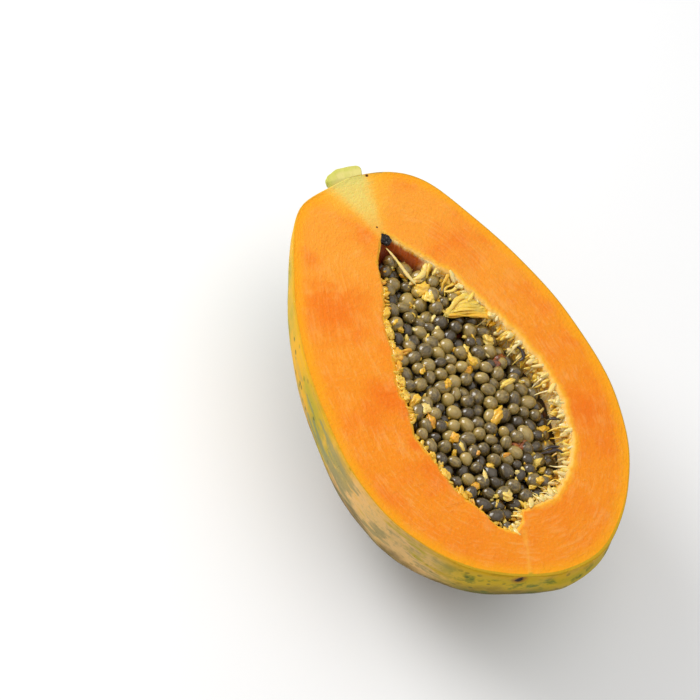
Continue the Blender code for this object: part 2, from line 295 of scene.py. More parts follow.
def hollow_at(y, stations=None):
    """(left edge, right edge, depth) of the seed hollow at a height, for arrays, in metres."""
    rows = np.array(HOLLOW_EDGE_MM) * MM
    stations = hollow_stations() if stations is None else stations
    left = smooth_through(stations, rows[:, 0], rows[:, 1])
    right = smooth_through(stations, rows[:, 0], rows[:, 2])
    width = right - left
    depth = HOLLOW_DEPTH * (width / width.max()) ** HOLLOW_TAPER
    return tuple(np.interp(y, stations, values) for values in (left, right, depth))


def fine_hollow(y):
    """The same in drawing millimetres, without the solid's coarse steps."""
    low, high = HOLLOW_EDGE_MM[0][0] * MM, HOLLOW_EDGE_MM[-1][0] * MM
    return tuple(value / MM for value in hollow_at(y * MM, np.linspace(low, high, FINE_STEPS)))


def loft(rings):
    """A closed mesh through rings of equally many points, with flat ends."""
    bm = bmesh.new()
    loops = []
    for ring in rings:
        verts = [bm.verts.new(point) for point in ring]
        loops.append([bm.edges.new(pair) for pair in zip(verts, verts[1:] + verts[:1])])
    for lower, upper in zip(loops, loops[1:]):
        bmesh.ops.bridge_loops(bm, edges=lower + upper)
    for end in (loops[0], loops[-1]):
        bmesh.ops.contextual_create(bm, geom=end)
    bmesh.ops.recalc_face_normals(bm, faces=bm.faces)
    return bm


def lofted(rings, cuts=0):
    """Points and faces of the same mesh, with so many cuts across each edge."""
    bm = loft(rings)
    bmesh.ops.triangulate(bm, faces=[face for face in bm.faces if len(face.verts) > 4])
    if cuts:
        bmesh.ops.subdivide_edges(bm, edges=bm.edges, cuts=cuts, use_grid_fill=True)
    points = np.array([vert.co[:] for vert in bm.verts])
    faces = [tuple(vert.index for vert in face.verts) for face in bm.faces]
    bm.free()
    return points, faces


def hollow_arc(left, right, depth, y, start=0.0):
    """Points round the hollow's floor at a height, from its right side to its left side."""
    middle, half = (left + right) / 2, (right - left) / 2
    arc = []
    for k in range(HOLLOW_SIDES + 1):
        angle = start + (math.pi - 2 * start) * k / HOLLOW_SIDES
        arc.append((middle + half * math.cos(angle), y, -depth * math.sin(angle)))
    return arc


def hollow_wall():
    """The solid hollow's wall, which the seeds keep clear of."""
    lift = 3.0 * MM
    rings = []
    for y in hollow_stations():
        left, right, depth = (float(value) for value in hollow_at(y))
        rings.append([(right, y, lift), *hollow_arc(left, right, depth, y), (left, y, lift)])
    bm = loft(rings)
    wall = BVHTree.FromBMesh(bm)
    bm.free()
    return wall


def heap_top(x, y):
    """Height of the heap's top. It dips along the middle, at the right wall and at the upper tip."""
    left, right, _ = hollow_at(y)
    side = (2 * x - left - right) / (right - left)
    upper = np.clip((y + 12 * MM) / (40 * MM), 0.0, 1.0)
    tip = np.clip((y - 38 * MM) / (10 * MM), 0.0, 1.0)
    valley = (0.8 + 3.6 * upper) * (1 - tip) * np.exp(-(((side + 0.1) / 0.34) ** 2))
    lower = np.clip((24 * MM - y) / (20 * MM), 0.0, 1.0)
    right_dip = (2.5 + 4.5 * lower) * np.clip((side - 0.3) / 0.7, 0.0, 1.0)
    tip_dip = 2.4 * tip
    swell = 0.7 * np.sin(y / (9.0 * MM)) * np.cos(x / (8.0 * MM))
    return (-0.4 - valley - right_dip - tip_dip + swell) * MM


def clearance(wall, point):
    """How far a point lies inside the hollow's wall, and the wall's outward normal there."""
    place, normal, _, away = wall.find_nearest(Vector(point))
    return math.copysign(away, (place - Vector(point)).dot(normal)), normal


def keep_inside(centre, radius, lid, wall):
    """Moves seeds back under the heap's top, above the layer's floor and off the hollow's wall."""
    top = heap_top(centre[:, 0], centre[:, 1])
    centre[:, 2] = np.clip(centre[:, 2], top - HEAP_LAYER - radius, top - lid - radius)
    for i, size in enumerate(radius):
        clear, normal = clearance(wall, centre[i])
        short = size * SEED_STRETCH + WALL_GAP - clear
        if short > 0:
            centre[i] -= np.array(normal) * min(short, 1.0 * MM)
    return centre


def scatter_seeds(random):
    """The seeds' first places, at random through the heap's upper layer."""
    low, high = hollow_stations()[[0, -1]]
    places = [(x * MM, y * MM, heap_top(x * MM, y * MM)) for x, y in TIP_SEEDS_MM]
    while len(places) < SEED_COUNT:
        y = random.uniform(low, high)
        left, right, _ = hollow_at(y)
        if random.uniform() < (right - left) / (62 * MM):
            x = left + (right - left) * random.uniform(0.05, 0.95)
            places.append((x, y, heap_top(x, y) - random.uniform() * HEAP_LAYER))
    return np.array(places)


def crowded(centre, radius):
    """Marks each seed that lies too deep inside one that came before it."""
    apart = centre[:, None, :] - centre[None, :, :]
    near = np.sqrt((apart**2).sum(2)) < LEAST_SPACING * (radius[:, None] + radius[None, :])
    return np.tril(near, -1).any(1)


def settle_seeds(wall):
    """Places the seeds: balls pushed apart and kept in the hollow, under the heap's top."""
    random = np.random.RandomState(SEED_RANDOM)
    radius = random.uniform(*SEED_RADII, SEED_COUNT)
    lid = random.uniform(0.0, 1.0, SEED_COUNT) ** 1.6 * HEAP_UNEVEN
    centre = scatter_seeds(random)
    index = np.arange(SEED_COUNT)
    for turn in range(SETTLE_ROUNDS + LAST_ROUNDS):
        if turn < SETTLE_ROUNDS:
            apart = centre[:, None, :] - centre[None, :, :]
            distance = np.sqrt((apart**2).sum(2)) + 1e-9
            overlap = radius[:, None] + radius[None, :] - distance
            overlap[index, index] = 0.0
            push = np.clip(overlap, 0.0, None) / distance
            centre += 0.24 * (apart * push[:, :, None]).sum(1)
            centre[:, 2] += SEED_RISE
        centre = keep_inside(centre, radius, lid, wall)
    clear = np.array([clearance(wall, point)[0] for point in centre])
    fits = (clear > radius * SEED_STRETCH + 0.6 * WALL_GAP) & ~crowded(centre, radius)
    return centre[fits], radius[fits]


# The settled seeds, kept for all the pieces that ask for them.
HEAP = {}


def heap_seeds():
    """The seeds' places and radii in drawing millimetres, worked out once."""
    if not HEAP:
        centre, radius = settle_seeds(hollow_wall())
        HEAP["seeds"] = (centre / MM, radius / MM)
    return HEAP["seeds"]


def to_frame(points):
    """Moves drawing millimetres to frame metres, inside the solids' box."""
    moved = (np.asarray(points, float) + DRAWING_SHIFT) * MM
    low, high = (np.array(corner) for corner in SOLID_BOX)
    return np.clip(moved, low + 1e-5, high - 1e-5)


def piece_from(name, points, faces, material, replaced=()):
    """A piece from drawing points, riding on the fruit, with one material or a list of them."""
    mesh = bpy.data.meshes.new(name)
    mesh.from_pydata(to_frame(points).tolist(), [], faces)
    mesh.validate()
    mesh.update()
    mesh.shade_smooth()
    for entry in material if isinstance(material, list) else [material]:
        mesh.materials.append(entry)
    thing = bpy.data.objects.new(name, mesh)
    bpy.context.scene.collection.objects.link(thing)
    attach(thing, BODY)
    if replaced:
        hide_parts(*replaced)
    return thing


def point_values(thing, name, values):
    """Stores a number, or a vector, for each point of a piece, for its material."""
    values = np.asarray(values, np.float32)
    if values.ndim == 1:
        thing.data.attributes.new(name, "FLOAT", "POINT").data.foreach_set("value", values)
    else:
        attribute = thing.data.attributes.new(name, "FLOAT_VECTOR", "POINT")
        attribute.data.foreach_set("vector", values.ravel())


class Bunch:
    """Gathers many small closed shapes into one mesh, with a tone for each point."""

    def __init__(self):
        self.points = []
        self.faces = []
        self.tones = []
        self.count = 0

    def add(self, points, faces, tone):
        self.faces += [tuple(self.count + i for i in face) for face in faces]
        self.points.append(points)
        self.tones.append(np.full(len(points), tone))
        self.count += len(points)

    def piece(self, name, material):
        thing = piece_from(name, np.concatenate(self.points), self.faces, material)
        point_values(thing, "tone", np.concatenate(self.tones))
        return thing


class Wire:
    """A socket of a material, with arithmetic. Each sum or product becomes a Math node."""

    def __init__(self, recipe, socket):
        self.recipe = recipe
        self.socket = socket

    def _math(self, operation, first, second):
        settings = {"operation": operation}
        return self.recipe.node("ShaderNodeMath", settings, {0: first, 1: second})

    def __add__(self, other):
        return self._math("ADD", self, other)

    __radd__ = __add__

    def __sub__(self, other):
        return self._math("SUBTRACT", self, other)

    def __rsub__(self, other):
        return self._math("SUBTRACT", other, self)

    def __mul__(self, other):
        return self._math("MULTIPLY", self, other)

    __rmul__ = __mul__

    def __truediv__(self, other):
        return self._math("DIVIDE", self, other)

    def __abs__(self):
        return self._math("ABSOLUTE", self, 0.0)

    def most(self, other):
        return self._math("MAXIMUM", self, other)

    def least(self, other):
        return self._math("MINIMUM", self, other)


class Recipe:
    """One material: its Principled shader and the nodes that feed it."""

    def __init__(self, name, **constants):
        self.material = bpy.data.materials.new(name)
        self.material.use_nodes = True
        self.tree = self.material.node_tree
        self.shader = self.tree.nodes["Principled BSDF"]
        self.set(self.shader, constants)

    def set(self, node, values):
        """Links wires and sets numbers on a node's sockets. An underscore stands for a space."""
        for key, value in values.items():
            socket = node.inputs[key if isinstance(key, int) else key.replace("_", " ")]
            if isinstance(value, Wire):
                self.tree.links.new(value.socket, socket)
            elif socket.type == "RGBA" and len(value) == 3:
                socket.default_value = (*value, 1.0)
            else:
                socket.default_value = value

    def node(self, kind, settings=None, values=None, out=0):
        """Adds a node. Its settings come first, among them a ramp's stops as (place, colour)."""
        node = self.tree.nodes.new(kind)
        for key, value in (settings or {}).items():
            if key == "stops":
                while len(node.color_ramp.elements) < len(value):
                    node.color_ramp.elements.new(0.5)
                for element, (place, shade) in zip(node.color_ramp.elements, value):
                    element.position = place
                    element.color = (*shade, 1.0)
            else:
                setattr(node, key, value)
        self.set(node, values or {})
        return Wire(self, node.outputs[out])

    def feed(self, **wires):
        """Links what varies to the shader, and gives the finished material."""
        self.set(self.shader, wires)
        return self.material

    def place(self):
        """The point's place in the frame, in metres."""
        return self.node("ShaderNodeTexCoord", out="Object")

    def stored(self, name, out="Fac"):
        """A value that the mesh stores for each point."""
        return self.node("ShaderNodeAttribute", {"attribute_name": name}, out=out)

    def parts(self, vector):
        """The x, y and z of a vector."""
        split = self.node("ShaderNodeSeparateXYZ", values={0: vector})
        return [Wire(self, socket) for socket in split.socket.node.outputs]

    def stretched(self, vector, x, y, z):
        settings = {"operation": "MULTIPLY"}
        return self.node("ShaderNodeVectorMath", settings, {0: vector, 1: (x, y, z)})

    def away_from(self, vector, x, y, z):
        """Distance to a drawing point given in millimetres."""
        spot = [(value + shift) * MM for value, shift in zip((x, y, z), DRAWING_SHIFT)]
        settings = {"operation": "DISTANCE"}
        return self.node("ShaderNodeVectorMath", settings, {0: vector, 1: spot}, "Value")

    def noise(self, vector, size, detail=3.0, roughness=0.55, distortion=0.0):
        """Noise from 0 to 1 whose features are about size metres wide."""
        values = {"Vector": vector, "Scale": 1.0 / size, "Detail": detail}
        values.update({"Roughness": roughness, "Distortion": distortion})
        return self.node("ShaderNodeTexNoise", values=values)

    def spots(self, vector, size):
        """Distance to the nearest of scattered points, in shares of their spacing."""
        return self.node("ShaderNodeTexVoronoi", values={"Vector": vector, "Scale": 1.0 / size})

    def step(self, value, low, high):
        """0 below low, 1 above high, and smooth between them. low may be the larger one."""
        values = {"Value": value, "From Min": low, "From Max": high}
        return self.node("ShaderNodeMapRange", {"interpolation_type": "SMOOTHSTEP"}, values)

    def layers(self, base, *coats):
        """Lays colours over a base, each as (colour, the share to which it covers what is below)."""
        for shade, share in coats:
            values = {0: share, 6: base, 7: shade}
            base = self.node("ShaderNodeMix", {"data_type": "RGBA"}, values, out=2)
        return base

    def bump(self, height, distance, strength):
        values = {"Height": height, "Distance": distance, "Strength": strength}
        return self.node("ShaderNodeBump", values=values, out="Normal")


def colour(red, green, blue):
    """A display colour from 0 to 255 as the linear colour that materials take."""
    linear = []
    for value in (red, green, blue):
        share = value / 255
        linear.append(share / 12.92 if share <= 0.04045 else ((share + 0.055) / 1.055) ** 2.4)
    return tuple(linear)


def tint(name, default, text):
    return FloatVectorProperty(
        name=name, description=text, default=default, subtype="COLOR", size=3, min=0.0, max=1.0
    )


class PapayaColours(bpy.types.PropertyGroup):
    """Colours of the fruit."""

    flesh: tint("Flesh", colour(247, 143, 22), "Ripe flesh in the cut face")
    deep_flesh: tint("Deep flesh", colour(240, 112, 10), "Reddest patches of the flesh")
    pale_flesh: tint("Pale flesh", colour(252, 180, 94), "Pale fibres in the flesh")
    rim: tint("Rim", colour(250, 166, 14), "Flesh next to the rind")
    rind_edge: tint("Rind edge", colour(176, 152, 26), "Cut edge of the rind")
    stem_flesh: tint("Stem flesh", colour(232, 206, 106), "Pale green flesh under the stalk")
    hollow_rim: tint("Hollow rim", colour(250, 184, 48), "Flesh round the hollow")
    rind_yellow: tint("Rind yellow", colour(220, 163, 17), "Ripe rind")
    rind_olive: tint("Rind olive", colour(176, 156, 40), "Half ripe rind")
    rind_green: tint("Rind green", colour(86, 110, 32), "Green patches and freckles")
    rind_tan: tint("Rind tan", colour(232, 186, 124), "Scuffed rind on the side it lay on")
    seed_light: tint("Seed gel", colour(176, 148, 74), "Gel round a seed")
    seed_dark: tint("Seed", colour(66, 50, 16), "The dark seed in its gel")
    fibre_pale: tint("Pale fibre", colour(248, 222, 160), "Dry fibres of the hollow's wall")
    pulp: tint("Pulp", colour(240, 184, 34), "Strands and withered seeds")
    pulp_deep: tint("Deep pulp", colour(234, 156, 26), "Orange pulp")
    juice: tint("Juice", colour(146, 52, 12), "Red wet pulp")


def span(name, default, text):
    return FloatProperty(name=name, description=text, default=default, unit="LENGTH")


def amount(name, default, text):
    return IntProperty(name=name, description=text, default=default)


class PapayaSizes(bpy.types.PropertyGroup):
    """Sizes and counts of the fruit's details."""

    freckle: span("Freckle spacing", 0.0042, "Distance between the rind's freckles")
    rim_tear: span("Rim tears", 0.0010, "How far the hollow's rim is torn in and out")
    wall_fibres: amount("Wall fibres", 150, "Fibres that hang from the hollow's wall")
    wall_clots: amount("Wall clots", 340, "Soft clots of pulp on the hollow's wall")
    scraps: amount("Scraps", 150, "Small scraps of pulp between the seeds")


# The rows of the flesh's mesh run round these centres, in the cut face and hollow and on the back.
LOOP_CENTRE = np.array((3.0, -8.0))
BACK_CENTRE = np.array((0.0, -12.0))
AROUND = 640
CUT_ROWS = 46
SKIN_ROWS = 64
WALL_ROWS = 40
# How far the rim of the hollow lies below the cut face, and the radius of the grain's circle.
RIM_DROP = 0.7
GRAIN_RADIUS = 72.0


def closed_loop_by_angle(points, centre, angles):
    """Where a loop round the centre lies at the given angles."""
    away = points - centre
    turn = np.unwrap(np.arctan2(away[:, 1], away[:, 0]))
    turn = np.maximum.accumulate(turn) + np.arange(len(turn)) * 1e-9
    length = np.hypot(away[:, 0], away[:, 1])
    wrapped = turn[0] + np.mod(angles - turn[0], 2 * math.pi)
    distance = np.interp(wrapped, turn, length)
    return centre + np.stack([np.cos(angles), np.sin(angles)], 1) * distance[:, None]


def loop_of(right_x, right_y, left_x, left_y):
    """A closed loop up the right side and down the left side."""
    right, left = np.stack([right_x, right_y], 1), np.stack([left_x, left_y], 1)
    return np.concatenate([right, left[::-1]])


def outline_and_rim():
    """The outline and the hollow's rim in the cut face, as loops whose points lie in step."""
    outline = loop_of(*outline_at(np.linspace(0.0, 1.0, FINE_STEPS)))
    heights = np.linspace(HOLLOW_EDGE_MM[0][0], HOLLOW_EDGE_MM[-1][0], FINE_STEPS)
    left_edge, right_edge, _ = fine_hollow(heights)
    rim = loop_of(right_edge, heights, left_edge, heights)
    fine = np.linspace(-math.pi, math.pi, 4 * FINE_STEPS + 1)
    travel = 0.0
    for loop in (outline, rim):
        along = closed_loop_by_angle(loop, LOOP_CENTRE, fine)
        step = np.hypot(*np.diff(along, axis=0).T)
        travel = travel + np.concatenate(([0.0], np.cumsum(step))) / step.sum()
    angles = np.interp(np.arange(AROUND) / AROUND * travel[-1], travel, fine)
    return (
        closed_loop_by_angle(outline, LOOP_CENTRE, angles),
        closed_loop_by_angle(rim, LOOP_CENTRE, angles),
    )


def torn(rim, depth):
    """The rim with small tears in and out."""
    flat = np.concatenate([rim, np.zeros((AROUND, 1))], 1)
    tears = 0.7 * rough_field(flat, 4.4, 5) + 0.5 * rough_field(flat, 1.5, 6)
    outward = rim - LOOP_CENTRE
    outward /= np.hypot(*outward.T)[:, None]
    return rim + outward * (tears * depth)[:, None]


def cut_face_points(outline, rim):
    """Rows of points from the outline to the rim, with a soft edge at the hollow."""
    share = np.linspace(0.0, 1.0, CUT_ROWS)
    share = 0.5 * share + 0.5 * (1 - np.cos(math.pi * share)) / 2
    flat = outline[None] * (1 - share)[:, None, None] + rim[None] * share[:, None, None]
    to_skin = np.hypot(*np.moveaxis(flat - outline[None], 2, 0)).ravel()
    to_rim = np.hypot(*np.moveaxis(flat - rim[None], 2, 0)).ravel()
    points = np.concatenate([flat, np.zeros((CUT_ROWS, AROUND, 1))], 2).reshape(-1, 3)
    waves = 0.12 * rough_field(points, 9.0, 3) + 0.06 * rough_field(points, 2.0, 4)
    points[:, 2] -= (0.14 + waves) * ease(to_skin, 0.0, 1.5)
    points[:, 2] -= RIM_DROP * (1 - ease(to_rim, 0.0, 1.4))
    return points, to_skin, to_rim


def skin_points(outline):
    """Rows of points from the outline down to the lowest point of the back."""
    rows = []
    for row in range(1, SKIN_ROWS):
        angle = math.pi / 2 * row / SKIN_ROWS
        flat = BACK_CENTRE + (outline - BACK_CENTRE) * math.cos(angle)
        rows.append(skin_below(flat[:, 0], flat[:, 1]))
    rows.append(skin_below(BACK_CENTRE[:1], BACK_CENTRE[1:]))
    points = np.concatenate(rows)
    dents = 0.18 * rough_field(points, 14.0, 8) + 0.08 * rough_field(points, 5.0, 9)
    points *= 1 - (0.26 + dents)[:, None] * ease(-points[:, 2], 0.0, 6.0)[:, None] / 60
    return points


def wall_points(rim):
    """Rows of points from the rim down the hollow's wall, with fibres that run down it."""
    steps = np.hypot(*(np.roll(rim, -1, axis=0) - rim).T)
    along = np.concatenate(([0.0], np.cumsum(steps[:-1])))
    rows = []
    for row in range(1, WALL_ROWS):
        angle = math.pi / 2 * (row / WALL_ROWS) ** 1.15
        flat = LOOP_CENTRE + (rim - LOOP_CENTRE) * math.cos(angle)
        left, right, depth = fine_hollow(flat[:, 1])
        side = np.clip((2 * flat[:, 0] - left - right) / (right - left), -1.0, 1.0)
        down = depth * np.sqrt(1 - side * side)
        across = np.zeros(AROUND)
        fibre = 0.6 * rough_field(np.stack([along, down * 0.2, across], 1), 1.4, 11)
        fibre += 0.4 * rough_field(np.stack([along, down * 0.3, across], 1), 0.7, 12)
        lump = rough_field(np.stack([along, down, across], 1), 4.0, 13)
        inward = (0.3 + 0.6 * fibre + 0.9 * np.clip(lump, 0, 1)) * ease(down, 0.0, 3.0)
        to_middle = LOOP_CENTRE - flat
        to_middle /= np.hypot(*to_middle.T)[:, None] + 1e-6
        flat = flat + to_middle * inward[:, None]
        rows.append(np.stack([flat[:, 0], flat[:, 1], -RIM_DROP - down * 0.97], 1))
    bottom = float(fine_hollow(LOOP_CENTRE[1])[2])
    rows.append(np.array([[*LOOP_CENTRE, -bottom]]))
    return np.concatenate(rows)


def ring_rows(start, count):
    """The numbers of the points in rows that go right round, from a first point on."""
    return [list(range(start + row * AROUND, start + (row + 1) * AROUND)) for row in range(count)]


def strips(rows, tip, flip=False):
    """Quads between rows of points that go right round, and a fan from the last row to a tip."""
    faces = []
    for upper, lower in zip(rows, rows[1:]):
        for k in range(AROUND):
            after = (k + 1) % AROUND
            faces.append((upper[k], upper[after], lower[after], lower[k]))
    if tip is not None:
        last = rows[-1]
        faces += [(last[k], last[(k + 1) % AROUND], tip) for k in range(AROUND)]
    return [face[::-1] for face in faces] if flip else faces


class PAPAYA_OT_flesh(bpy.types.Operator):
    """The half fruit: cut flesh, rind and the hollow's wall as one closed skin."""

    bl_idname = "papaya.flesh"
    bl_label = "Flesh and rind"

    def execute(self, context):
        sizes = context.scene.papaya_sizes
        outline, smooth_rim = outline_and_rim()
        rim = torn(smooth_rim, sizes.rim_tear / MM)
        cut, to_skin, to_rim = cut_face_points(outline, rim)
        skin = skin_points(outline)
        wall = wall_points(rim)
        points = np.concatenate([cut, skin, wall])
        skin_start, wall_start = len(cut), len(cut) + len(skin)
        cut_rows = ring_rows(0, CUT_ROWS)
        skin_rows = cut_rows[:1] + ring_rows(skin_start, SKIN_ROWS - 1)
        wall_rows = cut_rows[-1:] + ring_rows(wall_start, WALL_ROWS - 1)
        groups = (
            strips(cut_rows, None),
            strips(skin_rows, wall_start - 1, flip=True),
            strips(wall_rows, len(points) - 1),
        )
        faces = [face for group in groups for face in group]
        materials = [flesh_material(context), rind_material(context), wall_material(context)]
        thing = piece_from("papaya_half", points, faces, materials, ("papaya_flesh",))
        if len(thing.data.polygons) != len(faces):
            raise RuntimeError("the fruit's mesh lost faces")
        kinds = np.repeat(range(3), [len(group) for group in groups])
        thing.data.polygons.foreach_set("material_index", kinds.astype(np.int32))
        beyond = len(points) - len(cut)
        point_values(thing, "to_skin", np.concatenate([to_skin, np.full(beyond, 50.0)]))
        point_values(thing, "to_rim", np.concatenate([to_rim, np.zeros(beyond)]))
        point_values(thing, "grain", grain((cut, skin, wall), to_skin))
        return {"FINISHED"}


def grain(parts, to_skin):
    """A vector that runs round the fruit in x and y and away from the cut edge in z."""
    _, skin, wall = parts
    turn = 2 * math.pi * np.arange(AROUND) / AROUND
    turns = np.concatenate([np.resize(turn, len(part)) for part in parts])
    across = np.concatenate([to_skin, -skin[:, 2], -wall[:, 2]])
    return np.stack([GRAIN_RADIUS * np.cos(turns), GRAIN_RADIUS * np.sin(turns), across], 1)


# Marks in the cut face: the pale vein that comes down from the stalk, with its width at both ends,
# the seam from the hollow to the blossom end, and dots and red patches as (x, y, radius).
STEM_LINE = ((-3.6, 90.0), (-0.6, 60.0))
STEM_WIDTHS = (9.5, 1.6)
SEAM_LINE = ((-4.8, -67.5), (-12.4, -87.0))
DARK_DOTS = ((-1.0, 64.0, 0.55), (5.6, 86.4, 0.8))
RED_SPOTS = (
    (-29.5, -25.0, 3.6), (-34.0, 35.0, 16.0), (-30.0, -4.0, 9.0), (43.0, -30.0, 12.0),
)


def beside_line(made, place, line):
    """How far along a line between two drawing points a place is, as a share, and how far aside."""
    x, y, _ = made.parts(place)
    (start_x, start_y), (end_x, end_y) = line
    along = (start_y - (y / MM - DRAWING_Y)) / (start_y - end_y)
    aside = abs(x / MM - (start_x + DRAWING_X) - along * (end_x - start_x))
    return along, aside


def flesh_material(context):
    tints = context.scene.papaya_colours
    made = Recipe(
        "cut_flesh", Roughness=0.42, Specular_IOR_Level=0.14, Coat_Weight=0.04, Coat_Roughness=0.2,
        Subsurface_Weight=0.12, Subsurface_Radius=(1.0, 0.35, 0.1), Subsurface_Scale=0.003,
    )
    place = made.place()
    x, y, _ = made.parts(place)
    grain_way = made.stored("grain", "Vector")
    to_skin = made.stored("to_skin")
    to_rim = made.stored("to_rim")
    patches = made.noise(place, 0.019, detail=2.0)
    drift = made.noise(place, 0.007, detail=2.0) - 0.5
    streaks = made.noise(made.stretched(grain_way, 0.11, 0.11, 0.8), 1.0, detail=4.0, roughness=0.6)
    fibres = made.noise(made.stretched(grain_way, 0.5, 0.5, 1.3), 1.0, detail=4.0, roughness=0.7)
    mottle = made.noise(place, 0.0012, detail=3.0, roughness=0.65)
    # Red patches under pale fibres
    red = made.step(patches + drift * 0.4, 0.42, 0.8) * 0.7
    for spot_x, spot_y, reach in RED_SPOTS:
        away = made.away_from(place, spot_x, spot_y, 0.0) + drift * (reach * MM)
        red = red.most(made.step(away, 1.25 * reach * MM, 0.0) * 0.85)
    red = red * (1 - made.step(y + drift * 0.01, -0.046, -0.062) * 0.55)
    upper = made.step(y + drift * 0.03, -0.02, 0.07)
    paler = upper * 0.3 + 0.8
    base = made.layers(
        tints.flesh,
        (tints.deep_flesh, red * 0.6),
        (tints.pale_flesh, made.step(streaks + drift * 0.8, 0.46, 0.78) * paler * 0.5),
        (tints.pale_flesh, made.step(fibres, 0.48, 0.8) * paler * 0.35),
        (tints.pale_flesh, made.step(mottle, 0.56, 0.78) * paler * 0.5),
        (tints.deep_flesh, made.step(mottle, 0.44, 0.26) * 0.35),
        (colour(248, 166, 56), upper * (1 - red) * 0.6),
        (tints.deep_flesh, red * 0.6),
    )
    # The edges at the rind and at the hollow
    low_end = made.step(y, -0.064, -0.08)
    line = made.step(to_skin + drift * 0.3 - low_end * 0.6, 0.8, 0.3)
    right = made.step(x, -0.003, 0.008)
    band = (to_rim + drift * 1.8) / (right * 1.6 + 1.5)
    torn_edge = made.step(to_rim + drift * 1.2, 1.8, 0.2) * right
    base = made.layers(
        base,
        (tints.rim, made.step(to_skin + drift * 3.0, 6.5, 1.0) * 0.8),
        (tints.rind_edge, line * (low_end * 0.3 + 0.5)),
        (tints.hollow_rim, made.step(band, 1.3, 0.25) * 0.85),
        (tints.fibre_pale, torn_edge * 0.3),
    )
    # The pale vein under the stalk
    down, aside = beside_line(made, place, STEM_LINE)
    half = STEM_WIDTHS[0] + down.least(1.0) * (STEM_WIDTHS[1] - STEM_WIDTHS[0])
    aside = aside / half + drift * 0.9 + (mottle - 0.5) * 0.5
    base = made.layers(
        base,
        (colour(248, 182, 50), made.step(aside, 2.8, 0.7) * made.step(down, 1.4, 0.4) * 0.8),
        (tints.stem_flesh, made.step(aside, 1.5, 0.4) * made.step(down, 1.2, 0.3) * 0.95),
        (colour(218, 206, 112), made.step(aside, 1.4, 0.7) * made.step(down, 0.34, 0.06) * 0.8),
    )
    # The seam, the notch at its lower end, and the dots
    down, aside = beside_line(made, place, SEAM_LINE)
    aside = aside + drift * 3.0
    seam = made.step(aside, 1.5, 0.2) * made.step(down, -0.1, 0.1) * made.step(down, 1.2, 0.9)
    notch = made.step(aside + (1 - down) * 14.0, 4.2, 2.2) * made.step(down, 0.8, 0.86)
    base = made.layers(base, (colour(250, 182, 66), seam * 0.4), (tints.rind_edge, notch * 0.8))
    for spot_x, spot_y, reach in DARK_DOTS:
        away = made.away_from(place, spot_x, spot_y, -0.1) + (mottle - 0.5) * (0.6 * reach * MM)
        base = made.layers(base, (colour(88, 44, 20), made.step(away, reach * MM, 0.5 * reach * MM)))
    height = fibres * 0.6 + mottle + streaks * 0.4
    return made.feed(Base_Color=base, Normal=made.bump(height, 0.0005, 0.7))


# Marks on the rind: the pit that the flower left, a scuffed patch and a grey one.
PIT_SPOT = (-14.6, -85.0, -3.5)
SCUFF_SPOT = (-44.0, -46.0, -26.0)
GREY_SPOT = (-54.0, -8.0, -16.0)


def rind_material(context):
    tints = context.scene.papaya_colours
    made = Recipe("rind", Coat_Weight=0.0, Specular_IOR_Level=0.08)
    place = made.place()
    _, y, z = made.parts(place)
    grain_way = made.stored("grain", "Vector")
    broad = made.noise(place, 0.04, detail=2.0, distortion=0.5)
    cloud = made.noise(place, 0.011, detail=4.0, roughness=0.6)
    drift = cloud - 0.5
    streaks = made.noise(made.stretched(grain_way, 0.05, 0.05, 0.2), 1.0, detail=4.0, roughness=0.6)
    fine = made.noise(place, 0.0012, detail=3.0, roughness=0.6)
    # Ripe and green ground, with the scuffed and the grey patch
    scuff = made.step(made.away_from(place, *SCUFF_SPOT) + drift * 0.03, 0.046, 0.022)
    grey = made.step(made.away_from(place, *GREY_SPOT) + drift * 0.03, 0.04, 0.012)
    base = made.layers(
        tints.rind_yellow,
        (tints.rind_olive, made.step(broad + drift * 0.5, 0.38, 0.6)),
        (tints.rind_green, made.step(broad + (streaks - 0.5) * 0.9, 0.54, 0.7) * 0.8),
        (tints.rind_tan, scuff * made.step(streaks, 0.3, 0.5) * 0.85),
        (colour(132, 136, 100), grey * made.step(streaks + drift * 0.4, 0.5, 0.6) * 0.65),
        (colour(132, 128, 84), scuff * made.step(streaks + drift * 0.5, 0.5, 0.64) * 0.7),
        (colour(160, 148, 104), scuff * made.step(fine + drift * 0.6, 0.5, 0.7) * 0.3),
    )
    # The blossom end, the underside's dark green with painted shade, freckles, specks and the yellow
    # edge
    blossom = made.step(y + drift * 0.02, -0.066, -0.08)
    low = made.step(z + drift * 0.024 - blossom * 0.007, 0.043, 0.029)
    where = made.noise(place, 0.016, detail=2.0)
    freckles = made.step(made.spots(place, context.scene.papaya_sizes.freckle), 0.3, 0.16)
    freckles = freckles * made.step(where, 0.42, 0.58)
    specks = made.step(made.spots(place, 0.0016), 0.16, 0.08) * made.step(cloud, 0.5, 0.6)
    edge = made.step(z + drift * 0.006, CUT_HEIGHT * MM - 0.006, CUT_HEIGHT * MM - 0.001)
    pit = made.away_from(place, *PIT_SPOT) + (fine - 0.5) * 0.0012
    base = made.layers(
        base,
        (colour(196, 166, 26), blossom * 0.8),
        (tints.rind_green, blossom * made.step(cloud, 0.48, 0.58) * 0.8),
        # Darker lowest part near the table: partly the rind's dark green, partly painted shade.
        (colour(56, 56, 24), low * 0.78),
        (colour(68, 86, 30), freckles * 0.8 * (1 - scuff * 0.6)),
        (colour(96, 70, 30), specks * 0.7),
        (tints.rind_yellow, edge * (1 - scuff * 0.8) * 0.6),
        (colour(130, 62, 24), made.step(pit, 0.0042, 0.0022) * 0.6),
        (colour(40, 28, 20), made.step(pit, 0.0024, 0.0017)),
    )
    return made.feed(
        Base_Color=base,
        Roughness=0.46 + cloud * 0.16 + scuff * 0.12,
        Normal=made.bump(fine + cloud * 0.8, 0.00025, 0.4),
    )


